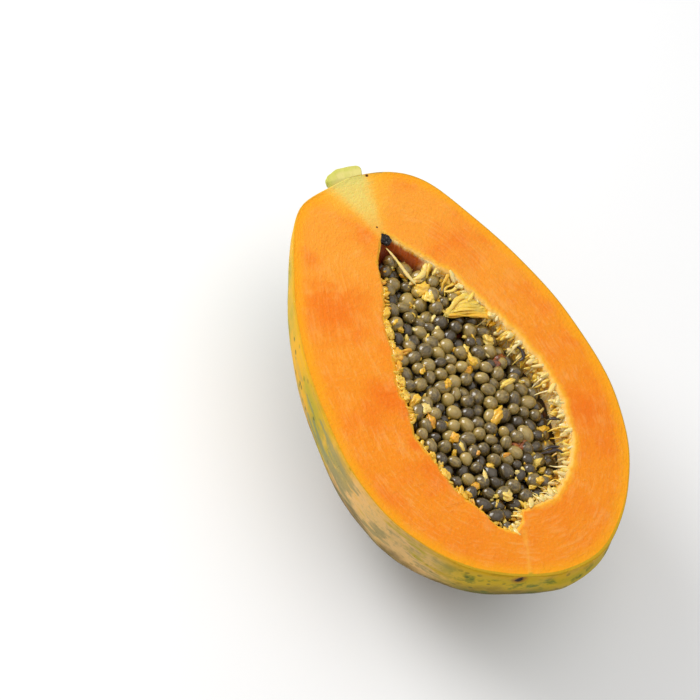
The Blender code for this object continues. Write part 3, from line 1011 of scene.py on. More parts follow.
def wall_material(context):
    tints = context.scene.papaya_colours
    made = Recipe(
        "hollow_wall", Roughness=0.45, Specular_IOR_Level=0.3, Coat_Weight=0.15, Coat_Roughness=0.2,
        Subsurface_Weight=0.15, Subsurface_Radius=(1.0, 0.5, 0.2), Subsurface_Scale=0.002,
    )
    place = made.place()
    x, y, z = made.parts(place)
    grain_way = made.stored("grain", "Vector")
    down = (CUT_HEIGHT - RIM_DROP) * MM - z
    fibres = made.noise(made.stretched(grain_way, 1.0, 1.0, 0.3), 1.0, detail=4.0, roughness=0.65)
    clumps = made.noise(place, 0.004, detail=3.0)
    drift = clumps - 0.5
    right = made.step(x, -0.003, 0.008)
    under = down - right * made.step(y, 0.038, 0.03) * 0.006
    tip = made.step(y, 0.041, 0.047) * made.step(down, 0.0002, 0.0018)
    base = made.layers(
        tints.hollow_rim,
        (tints.pulp, made.step(clumps, 0.45, 0.6)),
        (tints.fibre_pale, made.step(fibres + drift * 0.6, 0.42, 0.58) * (right * 0.6 + 0.3)),
        (tints.pulp_deep, made.step(clumps, 0.62, 0.75) * 0.4),
        # Darker down the wall: dark red, then near black deep in the hollow, partly the wall's own red
        # and partly painted shade.
        (tints.juice, made.step(under + drift * 0.006, 0.006, 0.012) * 0.95),
        (colour(52, 18, 8), made.step(under, 0.009, 0.017) * 0.9),
        (colour(196, 76, 14), tip * 0.9),
        # At the tip, darker with depth: partly the wall's red and partly painted shade.
        (colour(112, 30, 8), tip * made.step(down, 0.003, 0.009) * 0.9),
    )
    return made.feed(Base_Color=base, Normal=made.bump(fibres + clumps, 0.0007, 0.7))


def stalk_ring(along, share):
    """One ring of the half button: its round underside, and then its flat top."""
    radius = STALK_RADIUS * share
    turns = np.linspace(0.0, math.pi, STALK_SIDES)
    flat = np.linspace(-1.0, 1.0, STALK_SIDES)[1:-1]
    across = radius * np.concatenate([np.cos(turns), flat])
    down = radius * np.concatenate([np.sin(turns), np.zeros(len(flat))])
    left = ease(-across, 1.0, 7.0) * ease(along, 0.0, 3.0)
    sunk = 0.7 if along < -0.5 else 0.03
    y = OUTLINE[-1][1] + along - 1.5 * left
    return np.stack([STALK_X + across + 0.6 * left + 0.3, y, -sunk - down], 1)


def stalk_material():
    made = Recipe("stalk", Roughness=0.55, Coat_Weight=0.05, Specular_IOR_Level=0.3)
    place = made.place()
    x, y, z = made.parts(place)
    wood = made.noise(made.stretched(place, 1.0, 0.3, 1.0), 0.0016, detail=3.0)
    cloud = made.noise(place, 0.005, detail=2.0)
    drift = (cloud - 0.5) * 0.004
    base = made.layers(
        colour(226, 212, 124),
        (colour(212, 204, 104), made.step(cloud, 0.4, 0.65)),
        (colour(184, 186, 60), made.step(z, (CUT_HEIGHT - 0.5) * MM, (CUT_HEIGHT - 1.8) * MM) * 0.8),
        (colour(206, 204, 92), made.step(y + drift, 0.0870, 0.0895) * 0.7),
        (colour(176, 186, 44), made.step(x + drift, -0.0085, -0.0115) * 0.6),
        (colour(190, 176, 84), made.step(wood, 0.58, 0.75) * 0.4),
    )
    return made.feed(Base_Color=base, Normal=made.bump(wood + cloud, 0.0004, 0.5))


class PAPAYA_OT_stalk(bpy.types.Operator):
    """The button of stalk, cut lengthwise with the fruit."""

    bl_idname = "papaya.stalk"
    bl_label = "Stalk button"

    def execute(self, context):
        points, faces = lofted([stalk_ring(*station) for station in STALK_STATIONS])
        knobs = 0.25 * rough_field(points, 2.6, 41) + 0.12 * rough_field(points, 1.0, 42)
        under = ease(-points[:, 2], 0.1, 1.5)
        points[:, 2] += knobs * under - 0.06 * (1 + rough_field(points, 1.8, 43)) * (1 - under)
        points[:, 0] += 0.6 * knobs * under
        piece_from("stalk_button", points, faces, stalk_material())
        return {"FINISHED"}


def heap_core_rings():
    """The core under the seeds, in the solid's shape but lower, with seeds above it."""
    rings = []
    for y in hollow_stations():
        lefts, rights, depths = hollow_at(y + np.array((-WALL_GAP, 0.0, WALL_GAP)))
        left, right = float(lefts.max()) + WALL_GAP, float(rights.min()) - WALL_GAP
        middle, half, depth = (left + right) / 2, (right - left) / 2, float(depths.min()) - WALL_GAP
        top = max(float(heap_top(middle + 0.5 * half, y)) - CORE_DROP, -0.6 * depth)
        if half < CORE_LEAST_HALF:
            continue
        start = math.asin(-top / depth)
        ring = hollow_arc(left, right, depth, y, start)
        for k in range(1, CORE_TOP_STEPS):
            side = math.cos(start) * (2 * k / CORE_TOP_STEPS - 1)
            x = middle + half * side
            lowest = -0.7 * depth * math.sqrt(1 - side * side)
            ring.append((x, y, max(float(heap_top(x, y)) - CORE_DROP, lowest)))
        rings.append([(x / MM, y / MM, z / MM) for x, y, z in ring])
    return rings


class PAPAYA_OT_core(bpy.types.Operator):
    """The wet pulp that the seeds lie on, painted near black as the shade in the gaps between them."""

    bl_idname = "papaya.core"
    bl_label = "Heap core"

    def execute(self, context):
        points, faces = lofted(heap_core_rings(), cuts=2)
        points[:, 2] += 0.7 * rough_field(points, 2.6, 21)
        made = Recipe("core_pulp", Roughness=0.3, Coat_Weight=0.5, Coat_Roughness=0.15)
        clumps = made.noise(made.place(), 0.004, detail=3.0)
        juice = context.scene.papaya_colours.juice
        # Near-black ground: painted shade in the gaps between the seeds; the red clumps are the juice.
        base = made.layers(colour(34, 20, 10), (juice, made.step(clumps, 0.55, 0.8) * 0.7))
        material = made.feed(Base_Color=base, Normal=made.bump(clumps, 0.001, 0.6))
        piece_from("heap_core", points, faces, material, ("seed_heap",))
        return {"FINISHED"}


# How light a seed's coat is, how much darker it gets towards the blossom end, the painted shade on
# seeds deep in the heap and on each seed's lower side, and by how much seeds differ.
SEED_SHADE = 0.63
SHADE_SPREAD = 0.16
DARKER_BELOW = 0.28
PAINTED_DEEP_SHADE = 0.45
PAINTED_UNDERSIDE_SHADE = 0.7

# Meridians and parallels of the small round meshes.
SEED_BALL = (22, 13)
LUMP_BALL = (26, 16)
SCRAP_BALL = (14, 9)
STUCK_BALL = (48, 30)


def ball(meridians, parallels):
    """Unit ball points and faces, poles on z."""
    points = [(0.0, 0.0, -1.0)]
    for row in range(1, parallels):
        angle = math.pi * row / parallels
        for k in range(meridians):
            turn = 2 * math.pi * k / meridians
            flat = math.sin(angle)
            points.append((flat * math.cos(turn), flat * math.sin(turn), -math.cos(angle)))
    points.append((0.0, 0.0, 1.0))
    faces = []
    last = 1 + (parallels - 2) * meridians
    for k in range(meridians):
        after = (k + 1) % meridians
        faces.append((0, 1 + after, 1 + k))
        faces.append((last + k, last + after, len(points) - 1))
        for row in range(parallels - 2):
            here, there = 1 + row * meridians, 1 + (row + 1) * meridians
            faces.append((here + k, here + after, there + after, there + k))
    return np.array(points), faces


def turned(axis):
    """The turn that brings z to an axis."""
    return np.array(Vector(axis).to_track_quat("Z", "Y").to_matrix())


def seed_shape(unit, tilt, size, random):
    """One seed: an egg whose wrinkled coat shows as faint ridges under its gel."""
    slim = SEED_STRETCH**-0.5
    egg = unit * (slim, slim, SEED_STRETCH)
    egg[:, :2] *= (1 - 0.12 * unit[:, 2])[:, None]
    turns = np.arctan2(unit[:, 1], unit[:, 0])
    ridges = 0.010 * np.sin(9 * turns + random.uniform(0, 6)) * (1 - unit[:, 2] ** 2)
    bumps = rough_field(unit + random.uniform(0, 50, 3), 0.7, 31)
    egg *= (1 + ridges + 0.035 * bumps)[:, None]
    egg *= random.uniform(0.94, 1.03, 3)
    return egg @ tilt.T * size


def seed_material(context):
    tints = context.scene.papaya_colours
    made = Recipe(
        "seed_gel", Specular_IOR_Level=0.3, Coat_Weight=1.0, Coat_Roughness=0.14, Coat_IOR=1.62,
        Subsurface_Weight=0.1, Subsurface_Scale=0.001,
    )
    shade = made.stored("tone")
    ridges = made.noise(made.stored("coat", "Vector"), 1.0, detail=3.0, roughness=0.6)
    marbling = made.noise(made.place(), 0.0022, detail=2.0, roughness=0.5)
    light = made.step(ridges * 0.6 + marbling * 0.4 + (shade - 0.5) * 0.8, 0.26, 0.82)
    base = made.layers(
        tints.seed_dark,
        (tints.seed_light, light),
        (colour(186, 164, 112), made.step(ridges, 0.6, 0.72) * 0.3),
        # The near-black colour where the tone is lowest: painted shade on deep seeds and on each seed's
        # lower side.
        (colour(36, 24, 8), made.step(shade, 0.05, -0.45) * 0.85),
    )
    return made.feed(
        Base_Color=base, Roughness=0.34 + marbling * 0.15, Normal=made.bump(ridges, 0.0004, 0.5)
    )


class PAPAYA_OT_seeds(bpy.types.Operator):
    """The dark seeds in their gel."""

    bl_idname = "papaya.seeds"
    bl_label = "Seeds"

    def execute(self, context):
        centre, radius = heap_seeds()
        tilts = np.random.RandomState(SEED_RANDOM + 1)
        random = np.random.RandomState(SEED_RANDOM + 2)
        unit, faces = ball(*SEED_BALL)
        depth = heap_top(*(centre[:, :2] * MM).T) / MM - centre[:, 2] - radius
        shows = depth < SHOWN_DEPTH
        bunch = Bunch()
        coats = []
        for place, size, shown, sunk in zip(centre, radius, shows, ease(depth, 0.2, 2.6)):
            axis = (tilts if shown else random).normal(size=3)
            shade = SEED_SHADE - DARKER_BELOW * ease(-place[1], 20.0, 55.0)
            # Seeds that lie deep below the heap's top get painted shade.
            shade = np.clip(random.normal(shade, SHADE_SPREAD), 0.0, 1.0) - PAINTED_DEEP_SHADE * sunk
            shape = seed_shape(unit, turned(axis), size, random)
            # Painted shade on each seed's lower side.
            wet = PAINTED_UNDERSIDE_SHADE * ease(-shape[:, 2] / size, -0.3, 0.35)
            bunch.add(shape + place, faces, shade - wet)
            coats.append(unit * (3.4, 3.4, 0.8) + random.uniform(0, 90, 3))
        thing = bunch.piece("seeds", seed_material(context))
        point_values(thing, "coat", np.concatenate(coats))
        return {"FINISHED"}


def curve_through(points, count):
    """Evenly timed points on a smooth curve through the given ones (Catmull-Rom)."""
    ends = np.asarray(points, float)
    known = np.concatenate([2 * ends[:1] - ends[1:2], ends, 2 * ends[-1:] - ends[-2:-1]])
    share = np.linspace(0.0, len(ends) - 1 - 1e-9, count)
    i = share.astype(int)
    t = (share - i)[:, None]
    a, b, c, d = known[i], known[i + 1], known[i + 2], known[i + 3]
    return 0.5 * (
        2 * b + (c - a) * t + (2 * a - 5 * b + 4 * c - d) * t**2 + (3 * b - a - 3 * c + d) * t**3
    )


def strand(route, thick, random, sides=7, flat=0.7, count=20):
    """A tapered, uneven strand of pulp along a route. thick is its radius at some points of it."""
    path = curve_through(route, count)
    share = np.linspace(0.0, 1.0, count)
    radius = np.interp(share, np.linspace(0.0, 1.0, len(thick)), thick)
    radius = radius * (1 + 0.3 * rough_field(path + random.uniform(0, 50, 3), 1.2, 51))
    radius = radius * np.sqrt(np.clip(share * (1 - share) * 14, 0.03, 1.0))
    tangent = np.gradient(path, axis=0)
    tangent /= np.linalg.norm(tangent, axis=1)[:, None] + 1e-9
    aside = np.cross(tangent, (0.31, 0.22, 0.92))
    aside /= np.linalg.norm(aside, axis=1)[:, None] + 1e-9
    above = np.cross(aside, tangent)
    turns = 2 * math.pi * np.arange(sides) / sides
    rings = (
        path[:, None]
        + radius[:, None, None] * np.cos(turns)[None, :, None] * aside[:, None]
        + flat * radius[:, None, None] * np.sin(turns)[None, :, None] * above[:, None]
    )
    points = np.concatenate([rings.reshape(-1, 3), path[:1], path[-1:]])
    faces = []
    for row in range(count - 1):
        for k in range(sides):
            here, there, after = row * sides, (row + 1) * sides, (k + 1) % sides
            faces.append((here + k, there + k, there + after, here + after))
    last = (count - 1) * sides
    for k in range(sides):
        after = (k + 1) % sides
        faces.append((k, after, count * sides))
        faces.append((last + after, last + k, count * sides + 1))
    return points, faces


def lump(unit, place, long, wide, turn, random, crumple=0.42):
    """A crumpled lump of pulp or a seed that never filled."""
    height = 0.55 * min(long, wide) + 0.15 * max(long, wide)
    shape = unit * (long / 2, wide / 2, height / 2)
    folds = rough_field(unit + random.uniform(0, 50, 3), 0.55, 61)
    folds += 0.6 * rough_field(unit + random.uniform(0, 50, 3), 0.3, 62)
    shape *= (1 + crumple * folds)[:, None]
    angle = math.radians(turn)
    lean = random.normal(0.0, 0.25, 2)
    spin = Matrix.Rotation(angle, 3, "Z") @ Matrix.Rotation(lean[0], 3, "X")
    spin = spin @ Matrix.Rotation(lean[1], 3, "Y")
    return shape @ np.array(spin).T + place


def seeds_level(x, y):
    """How high the seeds reach round a point, averaged over a small patch."""
    centre, radius = heap_seeds()
    heights = []
    for dx, dy in ((0, 0), (1.4, 0), (-1.4, 0), (0, 1.4), (0, -1.4)):
        left = radius**2 - (centre[:, 0] - x - dx) ** 2 - (centre[:, 1] - y - dy) ** 2
        reach = np.where(left > 0, centre[:, 2] + np.sqrt(np.clip(left, 0, None)), -99.0)
        heights.append(max(reach.max(), float(heap_top(x * MM, y * MM)) / MM - 4.0))
    return float(np.mean(heights))


# Lumps of pulp and withered seeds: x, y, length, width, turn in degrees, and tone from 0, cream,
# over 0.5, yellow, to 0.9, red.
LUMPS = (
    (6.8, 36.7, 6.2, 4.8, 0, 0.42),
    (7.5, 32.4, 6.0, 4.2, 20, 0.30),
    (6.5, 40.7, 6.0, 2.2, 10, 0.20),
    (12.3, 44.0, 3.5, 2.0, 60, 0.30),
    (19.3, 30.8, 4.5, 3.5, 10, 0.10),
    (17.9, 37.0, 4.0, 2.0, -30, 0.40),
    (-12.3, 24.5, 3.0, 1.6, 30, 0.50),
    (-10.8, 22.0, 3.0, 2.0, -40, 0.50),
    (-13.7, 12.8, 6.5, 2.6, -5, 0.60),
    (-11.2, 3.6, 4.0, 2.2, 60, 0.50),
    (-21.8, 3.1, 3.0, 2.0, 0, 0.50),
    (-22.8, -2.6, 4.0, 2.6, 20, 0.50),
    (-21.6, -4.1, 2.6, 2.4, 0, 0.02),
    (-20.1, -7.7, 5.5, 3.2, 30, 0.45),
    (-18.1, -12.2, 4.5, 4.0, 0, 0.20),
    (-17.8, -17.2, 5.5, 3.0, 80, 0.62),
    (23.2, 10.3, 5.5, 4.5, 20, 0.25),
    (10.7, 4.4, 5.5, 1.8, 85, 0.40),
    (8.0, 0.1, 3.5, 3.0, 0, 0.62),
    (8.6, -21.2, 7.0, 3.6, 35, 0.50),
    (-12.3, -25.5, 4.0, 3.8, 0, 0.56),
    (-14.3, -31.0, 3.4, 1.8, 80, 0.50),
    (-6.2, -33.5, 2.0, 2.0, 0, 0.66),
    (-3.8, -39.8, 2.8, 2.8, 0, 0.45),
    (4.3, -37.4, 3.0, 1.8, 0, 0.66),
    (-13.3, -45.5, 4.0, 2.8, -20, 0.58),
    (-8.9, -43.6, 5.0, 1.4, 75, 0.20),
    (5.2, -44.7, 1.8, 1.6, 0, 0.20),
    (16.0, -42.3, 4.4, 2.6, 10, 0.30),
    (17.8, -45.0, 3.5, 2.0, 20, 0.40),
    (-3.6, -52.8, 4.0, 3.6, 20, 0.25),
    (-7.8, -51.5, 2.0, 1.6, 0, 0.30),
    (10.3, 7.9, 3.0, 1.4, 80, 0.40),
    (30.4, 7.0, 3.0, 2.0, 40, 0.30),
    (-4.6, -4.5, 3.0, 1.5, 60, 0.58),
    (-21.4, -33.4, 3.0, 2.0, 70, 0.30),
    (-21.7, -38.3, 4.0, 2.4, 80, 0.45),
    (-17.9, -47.9, 4.0, 2.0, -50, 0.50),
    (12.8, -34.4, 7.5, 4.6, 0, 0.86),
    (22.9, 1.1, 7.0, 4.6, 30, 0.92),
    (11.7, -50.3, 4.0, 2.4, 10, 0.45),
    (17.1, -48.8, 4.0, 2.0, -20, 0.40),
    (22.1, -48.4, 4.5, 2.4, 20, 0.50),
    (14.6, -52.5, 4.0, 2.0, 0, 0.50),
    (8.7, -51.5, 3.0, 2.0, 0, 0.40),
    (10.4, 1.8, 3.4, 3.0, 0, 0.46),
    (-3.6, -3.8, 3.4, 2.4, 30, 0.50),
    (19.6, -9.8, 6.5, 1.8, 10, 0.30),
    (26.8, -29.1, 5.5, 2.6, 5, 0.44),
)

# Lumps on the hollow's left rim: y, length, width and tone.
RIM_LUMPS = (
    (28.4, 5.0, 2.6, 0.45), (24.6, 3.4, 2.2, 0.50), (20.6, 5.5, 3.2, 0.40), (15.2, 4.0, 2.8, 0.54),
    (11.0, 6.0, 4.4, 0.58), (6.0, 5.0, 3.8, 0.60), (1.4, 5.4, 3.6, 0.42), (-5.2, 4.4, 3.0, 0.42),
    (-14.0, 3.6, 2.2, 0.54), (-30.6, 3.4, 2.2, 0.50), (-38.5, 4.4, 2.8, 0.44), (-48.0, 4.0, 2.4, 0.50),
)

# Strands: their routes over the seeds, how thick they are along them, and their tone.
STRANDS = (
    (((-0.5, 56.0, -2.2), (0.3, 53.0, -2.0), (1.6, 48.6, -2.4), (2.9, 43.4, -3.0), (4.6, 38.4, -3.4)),
     (0.25, 0.45, 0.6, 0.9, 0.5), 0.16),
    (((5.0, 40.6, -3.0), (8.6, 41.6, -2.6), (11.6, 44.6, -2.4), (12.8, 46.6, -2.0)),
     (0.6, 1.1, 0.9, 0.5), 0.22),
    (((7.3, 31.0, -2.9), (8.2, 28.4, -3.4), (10.0, 25.6, -3.8), (12.0, 23.6, -3.8)),
     (1.0, 0.7, 0.9, 0.8), 0.36),
    (((14.0, 33.0, -3.4), (17.0, 32.2, -2.6), (20.4, 33.4, -1.6)), (0.4, 0.8, 0.6), 0.30),
)

# A ridged membrane runs from a knot among the seeds to the right wall, between two points of it.
WEB_KNOT = (10.2, 23.6, -4.0)
WEB_LOW = (27.6, 17.2, -2.0)
WEB_HIGH = (22.6, 28.6, -1.6)
WEB_STRANDS = 13
WEB_THICK = (0.55, 0.95)
WEB_TONES = (0.44, 0.6)

# Dark, dried curls by the right wall, and the scraps that are scattered everywhere.
CURL_THICK = (0.3, 0.8, 0.35)
CURL_TONE = 1.1
DARK_CURLS = (
    ((18.4, -39.8, -3.6), (21.4, -40.4, -2.8), (24.8, -40.6, -2.4), (27.0, -42.6, -2.6)),
    ((20.4, -38.8, -3.8), (23.2, -38.8, -2.6), (26.4, -39.8, -2.2)),
    ((28.0, -27.8, -3.2), (30.4, -28.4, -2.4), (32.6, -29.6, -2.6)),
    ((30.0, 4.0, -2.4), (31.6, 1.6, -2.2), (31.4, -1.2, -2.8), (29.4, -2.2, -3.6)),
)
SCRAP_LONG = (1.4, 4.2)
SCRAP_WIDE = (0.8, 2.0)
SCRAP_SUNK = (0.5, 1.3)
SCRAP_TONES = (0.12, 0.62)


def pulp_material(context):
    tints = context.scene.papaya_colours
    made = Recipe(
        "pulp", Roughness=0.34, Coat_Weight=0.55, Coat_Roughness=0.15,
        Subsurface_Weight=0.3, Subsurface_Radius=(1.0, 0.6, 0.2), Subsurface_Scale=0.0015,
    )
    place = made.place()
    clumps = made.noise(place, 0.0016, detail=3.0, roughness=0.6)
    tone = made.stored("tone") + (clumps - 0.5) * 0.35
    stops = (
        (0.0, tuple(tints.fibre_pale)),
        (0.3, colour(248, 208, 90)),
        (0.5, tuple(tints.pulp)),
        (0.68, tuple(tints.pulp_deep)),
        (0.86, colour(166, 84, 22)),
        (1.0, colour(44, 24, 14)),
    )
    base = made.node("ShaderNodeValToRGB", {"stops": stops}, {"Fac": tone}, "Color")
    return made.feed(Base_Color=base, Normal=made.bump(clumps, 0.0005, 0.6))


class PAPAYA_OT_pulp(bpy.types.Operator):
    """Yellow strands, withered seeds and scraps of pulp between the seeds."""

    bl_idname = "papaya.pulp"
    bl_label = "Pulp"

    def execute(self, context):
        random = np.random.RandomState(SEED_RANDOM + 3)
        unit, faces = ball(*LUMP_BALL)
        bunch = Bunch()
        for x, y, long, wide, turn, tone in LUMPS:
            sunk = 1.5 if tone > 0.8 else -0.1
            place = (x, y, min(seeds_level(x, y) - sunk, -0.25 * wide - 0.2))
            bunch.add(lump(unit, place, long, wide, turn, random), faces, tone)
        for y, long, wide, tone in RIM_LUMPS:
            left, left_above = fine_hollow(y)[0], fine_hollow(y + 1.0)[0]
            turn = math.degrees(math.atan2(1.0, left_above - left))
            place = (left + 0.34 * wide, y, -0.3 * wide - 0.3)
            bunch.add(lump(unit, place, long, wide, turn, random, 0.5), faces, tone)
        small, small_faces = ball(*SCRAP_BALL)
        low, high = hollow_stations()[[0, -1]] / MM
        for _ in range(context.scene.papaya_sizes.scraps):
            y = random.uniform(low + 4, high - 10)
            left, right, _ = fine_hollow(y)
            x = random.uniform(left + 2.0, right - 2.0)
            long, wide = random.uniform(*SCRAP_LONG), random.uniform(*SCRAP_WIDE)
            place = (x, y, min(seeds_level(x, y) - random.uniform(*SCRAP_SUNK), -0.9))
            shape = lump(small, place, long, wide, random.uniform(0, 180), random)
            bunch.add(shape, small_faces, random.uniform(*SCRAP_TONES))
        for route, thick, tone in STRANDS:
            bunch.add(*strand(route, thick, random, sides=9, count=26), tone)
        for route in DARK_CURLS:
            bunch.add(*strand(route, CURL_THICK, random), CURL_TONE)
        add_web(bunch, random)
        bunch.piece("pulp", pulp_material(context))
        return {"FINISHED"}


def add_web(bunch, random):
    """A ridged membrane from a knot among the seeds to the hollow's right wall."""
    knot, low, high = (np.array(point) for point in (WEB_KNOT, WEB_LOW, WEB_HIGH))
    for k in range(WEB_STRANDS):
        share = k / (WEB_STRANDS - 1)
        end = low + (high - low) * share + random.normal(0.0, 0.4, 3) * (1, 1, 0.5)
        middle = 0.42 * knot + 0.58 * end + random.normal(0.0, 0.45, 3)
        middle += (0.0, 1.6 * share, 0.9)
        start = knot + random.normal(0.0, 0.45, 3)
        turn = 0.6 * start + 0.4 * middle + random.normal(0.0, 0.3, 3)
        thick = random.uniform(*WEB_THICK)
        shape = strand(
            (start, turn, middle, end), (1.0, thick, 1.25 * thick, 1.6 * thick), random,
            sides=10, flat=0.42, count=30,
        )
        bunch.add(*shape, random.uniform(*WEB_TONES) - 0.2 * share)


# Clots and fibres of the wall. The right wall is deep and pale, and the left one low and yellow.
CLOT_LONG = (2.6, 6.4)
CLOT_WIDE = (1.0, 2.2)
RIGHT_LEVELS = (0.9, 5.0)
LEFT_LEVELS = (0.8, 2.2)
LEFT_CLOT_TONES = (0.36, 0.62)
RIGHT_REACH = (2.0, 7.0)
LEFT_REACH = (0.6, 2.2)
RIGHT_TONES = (0.04, 0.14, 0.26, 0.4, 0.5)
LEFT_TONES = (0.3, 0.4, 0.45, 0.5, 0.6)
TONE_SHARES = (0.24, 0.22, 0.2, 0.18, 0.16)
CLOTS_END = 46
FIBRES_END = 45


def on_the_right(inward):
    """Whether a point of the rim with this way inward is on the hollow's right side."""
    return inward[0] < 0.2


def rim_place(share, rim):
    """A point of the hollow's rim and the way inward there."""
    i = int(share * AROUND) % AROUND
    along = rim[(i + 4) % AROUND] - rim[i - 4]
    inward = np.array((-along[1], along[0]))
    return rim[i], inward / np.hypot(*inward)


class PAPAYA_OT_wall_fibres(bpy.types.Operator):
    """Pale fibres that hang from the hollow's wall and hold the outer seeds."""

    bl_idname = "papaya.wall_fibres"
    bl_label = "Wall fibres"

    def execute(self, context):
        random = np.random.RandomState(SEED_RANDOM + 4)
        sizes = context.scene.papaya_sizes
        _, rim = outline_and_rim()
        bunch = Bunch()
        unit, faces = ball(*SCRAP_BALL)
        for _ in range(sizes.wall_clots):
            spot, inward = rim_place(random.uniform(), rim)
            clot = wall_clot(spot, inward, random)
            if clot and spot[1] < CLOTS_END:
                *form, tone = clot
                bunch.add(lump(unit, *form, random, 0.28), faces, tone)
        for _ in range(sizes.wall_fibres):
            spot, inward = rim_place(random.uniform(), rim)
            if spot[1] < FIBRES_END:
                bunch.add(*wall_fibre(spot, inward, random))
        bunch.piece("wall_fibres", pulp_material(context))
        return {"FINISHED"}


def wall_clot(spot, inward, random):
    """Place, length, width, turn and tone of one clot, or nothing low on the left, where few are."""
    right_side = on_the_right(inward)
    if not right_side and spot[1] < -12 and random.uniform() < 0.65:
        return None
    level = random.uniform(*(RIGHT_LEVELS if right_side else LEFT_LEVELS))
    place = spot + inward * random.uniform(0.0, 0.6 + 0.5 * level)
    turn = math.degrees(math.atan2(inward[1], inward[0])) + random.normal(0.0, 30.0)
    long, wide = random.uniform(*CLOT_LONG), random.uniform(*CLOT_WIDE)
    if not right_side:
        long, wide = 0.7 * long, 0.8 * wide
    tone = random.uniform(*((0.04, 0.2 + 0.1 * level) if right_side else LEFT_CLOT_TONES))
    return (*place, -level), long, wide, turn, tone


def wall_fibre(spot, inward, random):
    """One strand from the wall to the seeds beside it, and its tone."""
    along = np.array((inward[1], -inward[0]))
    right_side = on_the_right(inward)
    reach = random.uniform(*(RIGHT_REACH if right_side else LEFT_REACH))
    top = random.uniform(0.7, 3.2)
    sway = random.normal(0.0, 1.0, 2)
    end = spot + inward * reach + along * sway[1]
    drop = max(0.5, min(-top - seeds_level(*end) + 0.3, 5.0))
    route = (
        (*(spot - 0.7 * inward), -top),
        (*(spot + inward * 0.3 * reach + along * 0.4 * sway[0]), -top - 0.15 * drop),
        (*(spot + inward * 0.65 * reach + along * sway[0]), -top - 0.5 * drop),
        (*end, -top - drop),
    )
    thick = random.uniform(0.25, 0.8)
    tone = random.choice(RIGHT_TONES if right_side else LEFT_TONES, p=TONE_SHARES)
    widths = (1.4 * thick, thick, 0.8 * thick, 0.5 * thick)
    return (*strand(route, widths, random, sides=7, flat=0.55, count=16), tone)


def withered_material():
    made = Recipe("withered_seed", Roughness=0.32, Coat_Weight=0.2, Specular_IOR_Level=0.3)
    knobs = made.spots(made.place(), 0.0011)
    # The light flecks on the knob tops are painted highlights on the near-black coat.
    base = made.layers(colour(96, 76, 56), (colour(24, 17, 13), made.step(knobs, 0.1, 0.35)))
    return made.feed(Base_Color=base, Normal=made.bump(1 - knobs, 0.0008, 1.0))


class PAPAYA_OT_stuck_seed(bpy.types.Operator):
    """The withered seed that stuck in the flesh above the hollow's tip."""

    bl_idname = "papaya.stuck_seed"
    bl_label = "Stuck seed"

    def execute(self, context):
        unit, faces = ball(*STUCK_BALL)
        folds = rough_field(unit, 0.3, 71) + 0.6 * rough_field(unit, 0.17, 72)
        points = unit * (1 + 0.14 * folds)[:, None] * (0.95, 1.08, 0.9) * STUCK_RADIUS * 0.97
        points += STUCK_SEED
        knobs = 0.35 * (1 + rough_field(points, 0.75, 73))
        points[:, 2] = np.minimum(points[:, 2], -0.04 - knobs)
        piece_from("stuck_seed", points, faces, withered_material())
        return {"FINISHED"}


class PAPAYA_OT_stage(bpy.types.Operator):
    """Pale table, soft light and the camera."""

    bl_idname = "papaya.stage"
    bl_label = "Table, light and camera"

    def execute(self, context):
        scene = context.scene
        scene.view_settings.view_transform = "Standard"
        mesh = bpy.data.meshes.new("table")
        corners = [(TABLE_HALF * x, TABLE_HALF * y, 0) for x, y in ((-1, -1), (1, -1), (1, 1), (-1, 1))]
        mesh.from_pydata(corners, [], [(0, 1, 2, 3)])
        table = bpy.data.objects.new("table", mesh)
        made = Recipe("table", Roughness=0.8, Base_Color=(0.96, 0.96, 0.96))
        mesh.materials.append(made.material)
        scene.collection.objects.link(table)
        world = bpy.data.worlds.new("room")
        world.use_nodes = True
        background = world.node_tree.nodes["Background"]
        background.inputs["Color"].default_value = (1.0, 1.0, 1.0, 1.0)
        background.inputs["Strength"].default_value = ROOM_LIGHT
        scene.world = world
        zero = Vector(DRAWING_SHIFT) * MM
        back = CAMERA_BACK.normalized()
        right = CAMERA_UP.cross(back).normalized()
        up = back.cross(right)
        for name, (across, rise, out), size, power in LAMPS:
            window_light(name, zero + across * right + rise * up + out * back, zero, size, power)
        aim_camera(zero, right, up, back)
        return {"FINISHED"}


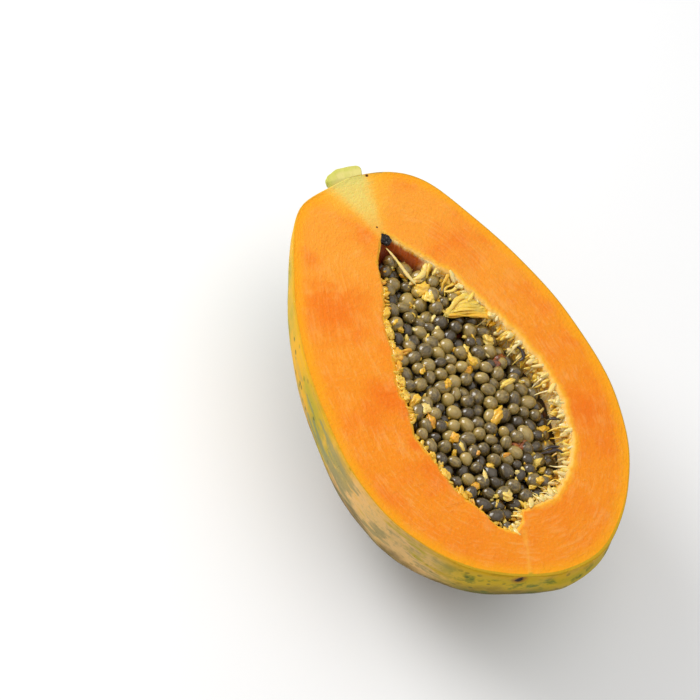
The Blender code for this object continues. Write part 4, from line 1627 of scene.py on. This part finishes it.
def aim_camera(zero, right, up, back):
    """Sets the camera so that the drawing's zero falls on its pixel of the sheet."""
    pixel = CAMERA_DISTANCE / LENS_PIXELS
    across = (ZERO_PIXEL[0] - SHEET_SIDE / 2) * pixel
    down = (ZERO_PIXEL[1] - SHEET_SIDE / 2) * pixel
    stand = zero + back * CAMERA_DISTANCE
    away = (stand - (zero - right * across + up * down)).normalized()
    right = CAMERA_UP.cross(away).normalized()
    up = away.cross(right)
    lens = bpy.data.cameras.new("camera")
    lens.sensor_width = SENSOR_WIDTH
    lens.lens = LENS_PIXELS / SHEET_SIDE * SENSOR_WIDTH
    camera = bpy.data.objects.new("camera", lens)
    turn = Matrix((right, up, away)).transposed().to_4x4()
    camera.matrix_world = Matrix.Translation(stand) @ turn
    bpy.context.scene.collection.objects.link(camera)
    bpy.context.scene.camera = camera


def window_light(name, place, aim, size, power):
    lamp = bpy.data.lights.new(name, "AREA")
    lamp.shape = "SQUARE"
    lamp.size = size
    lamp.energy = power
    thing = bpy.data.objects.new(name, lamp)
    thing.location = place
    thing.rotation_euler = (place - aim).to_track_quat("Z", "Y").to_euler()
    bpy.context.scene.collection.objects.link(thing)


STEPS = (
    PAPAYA_OT_flesh,
    PAPAYA_OT_stalk,
    PAPAYA_OT_core,
    PAPAYA_OT_seeds,
    PAPAYA_OT_pulp,
    PAPAYA_OT_wall_fibres,
    PAPAYA_OT_stuck_seed,
    PAPAYA_OT_stage,
)


class PAPAYA_PT_panel(bpy.types.Panel):
    """Lists the fruit's sizes, colours and steps in the sidebar."""

    bl_label = "Papaya half"
    bl_idname = "PAPAYA_PT_panel"
    bl_space_type = "VIEW_3D"
    bl_region_type = "UI"
    bl_category = "Papaya"

    def draw(self, context):
        for group in (context.scene.papaya_sizes, context.scene.papaya_colours):
            for name in type(group).__annotations__:
                self.layout.prop(group, name)
        for step in STEPS:
            self.layout.operator(step.bl_idname)


CLASSES = (PapayaColours, PapayaSizes, *STEPS, PAPAYA_PT_panel)


def register():
    for entry in CLASSES:
        bpy.utils.register_class(entry)
    bpy.types.Scene.papaya_colours = PointerProperty(type=PapayaColours)
    bpy.types.Scene.papaya_sizes = PointerProperty(type=PapayaSizes)


def unregister():
    del bpy.types.Scene.papaya_sizes
    del bpy.types.Scene.papaya_colours
    for entry in reversed(CLASSES):
        bpy.utils.unregister_class(entry)


def main():
    register()
    bpy.ops.papaya.flesh()
    bpy.ops.papaya.stalk()
    bpy.ops.papaya.core()
    bpy.ops.papaya.seeds()
    bpy.ops.papaya.pulp()
    bpy.ops.papaya.wall_fibres()
    bpy.ops.papaya.stuck_seed()
    bpy.ops.papaya.stage()


if __name__ == "__main__":
    main()
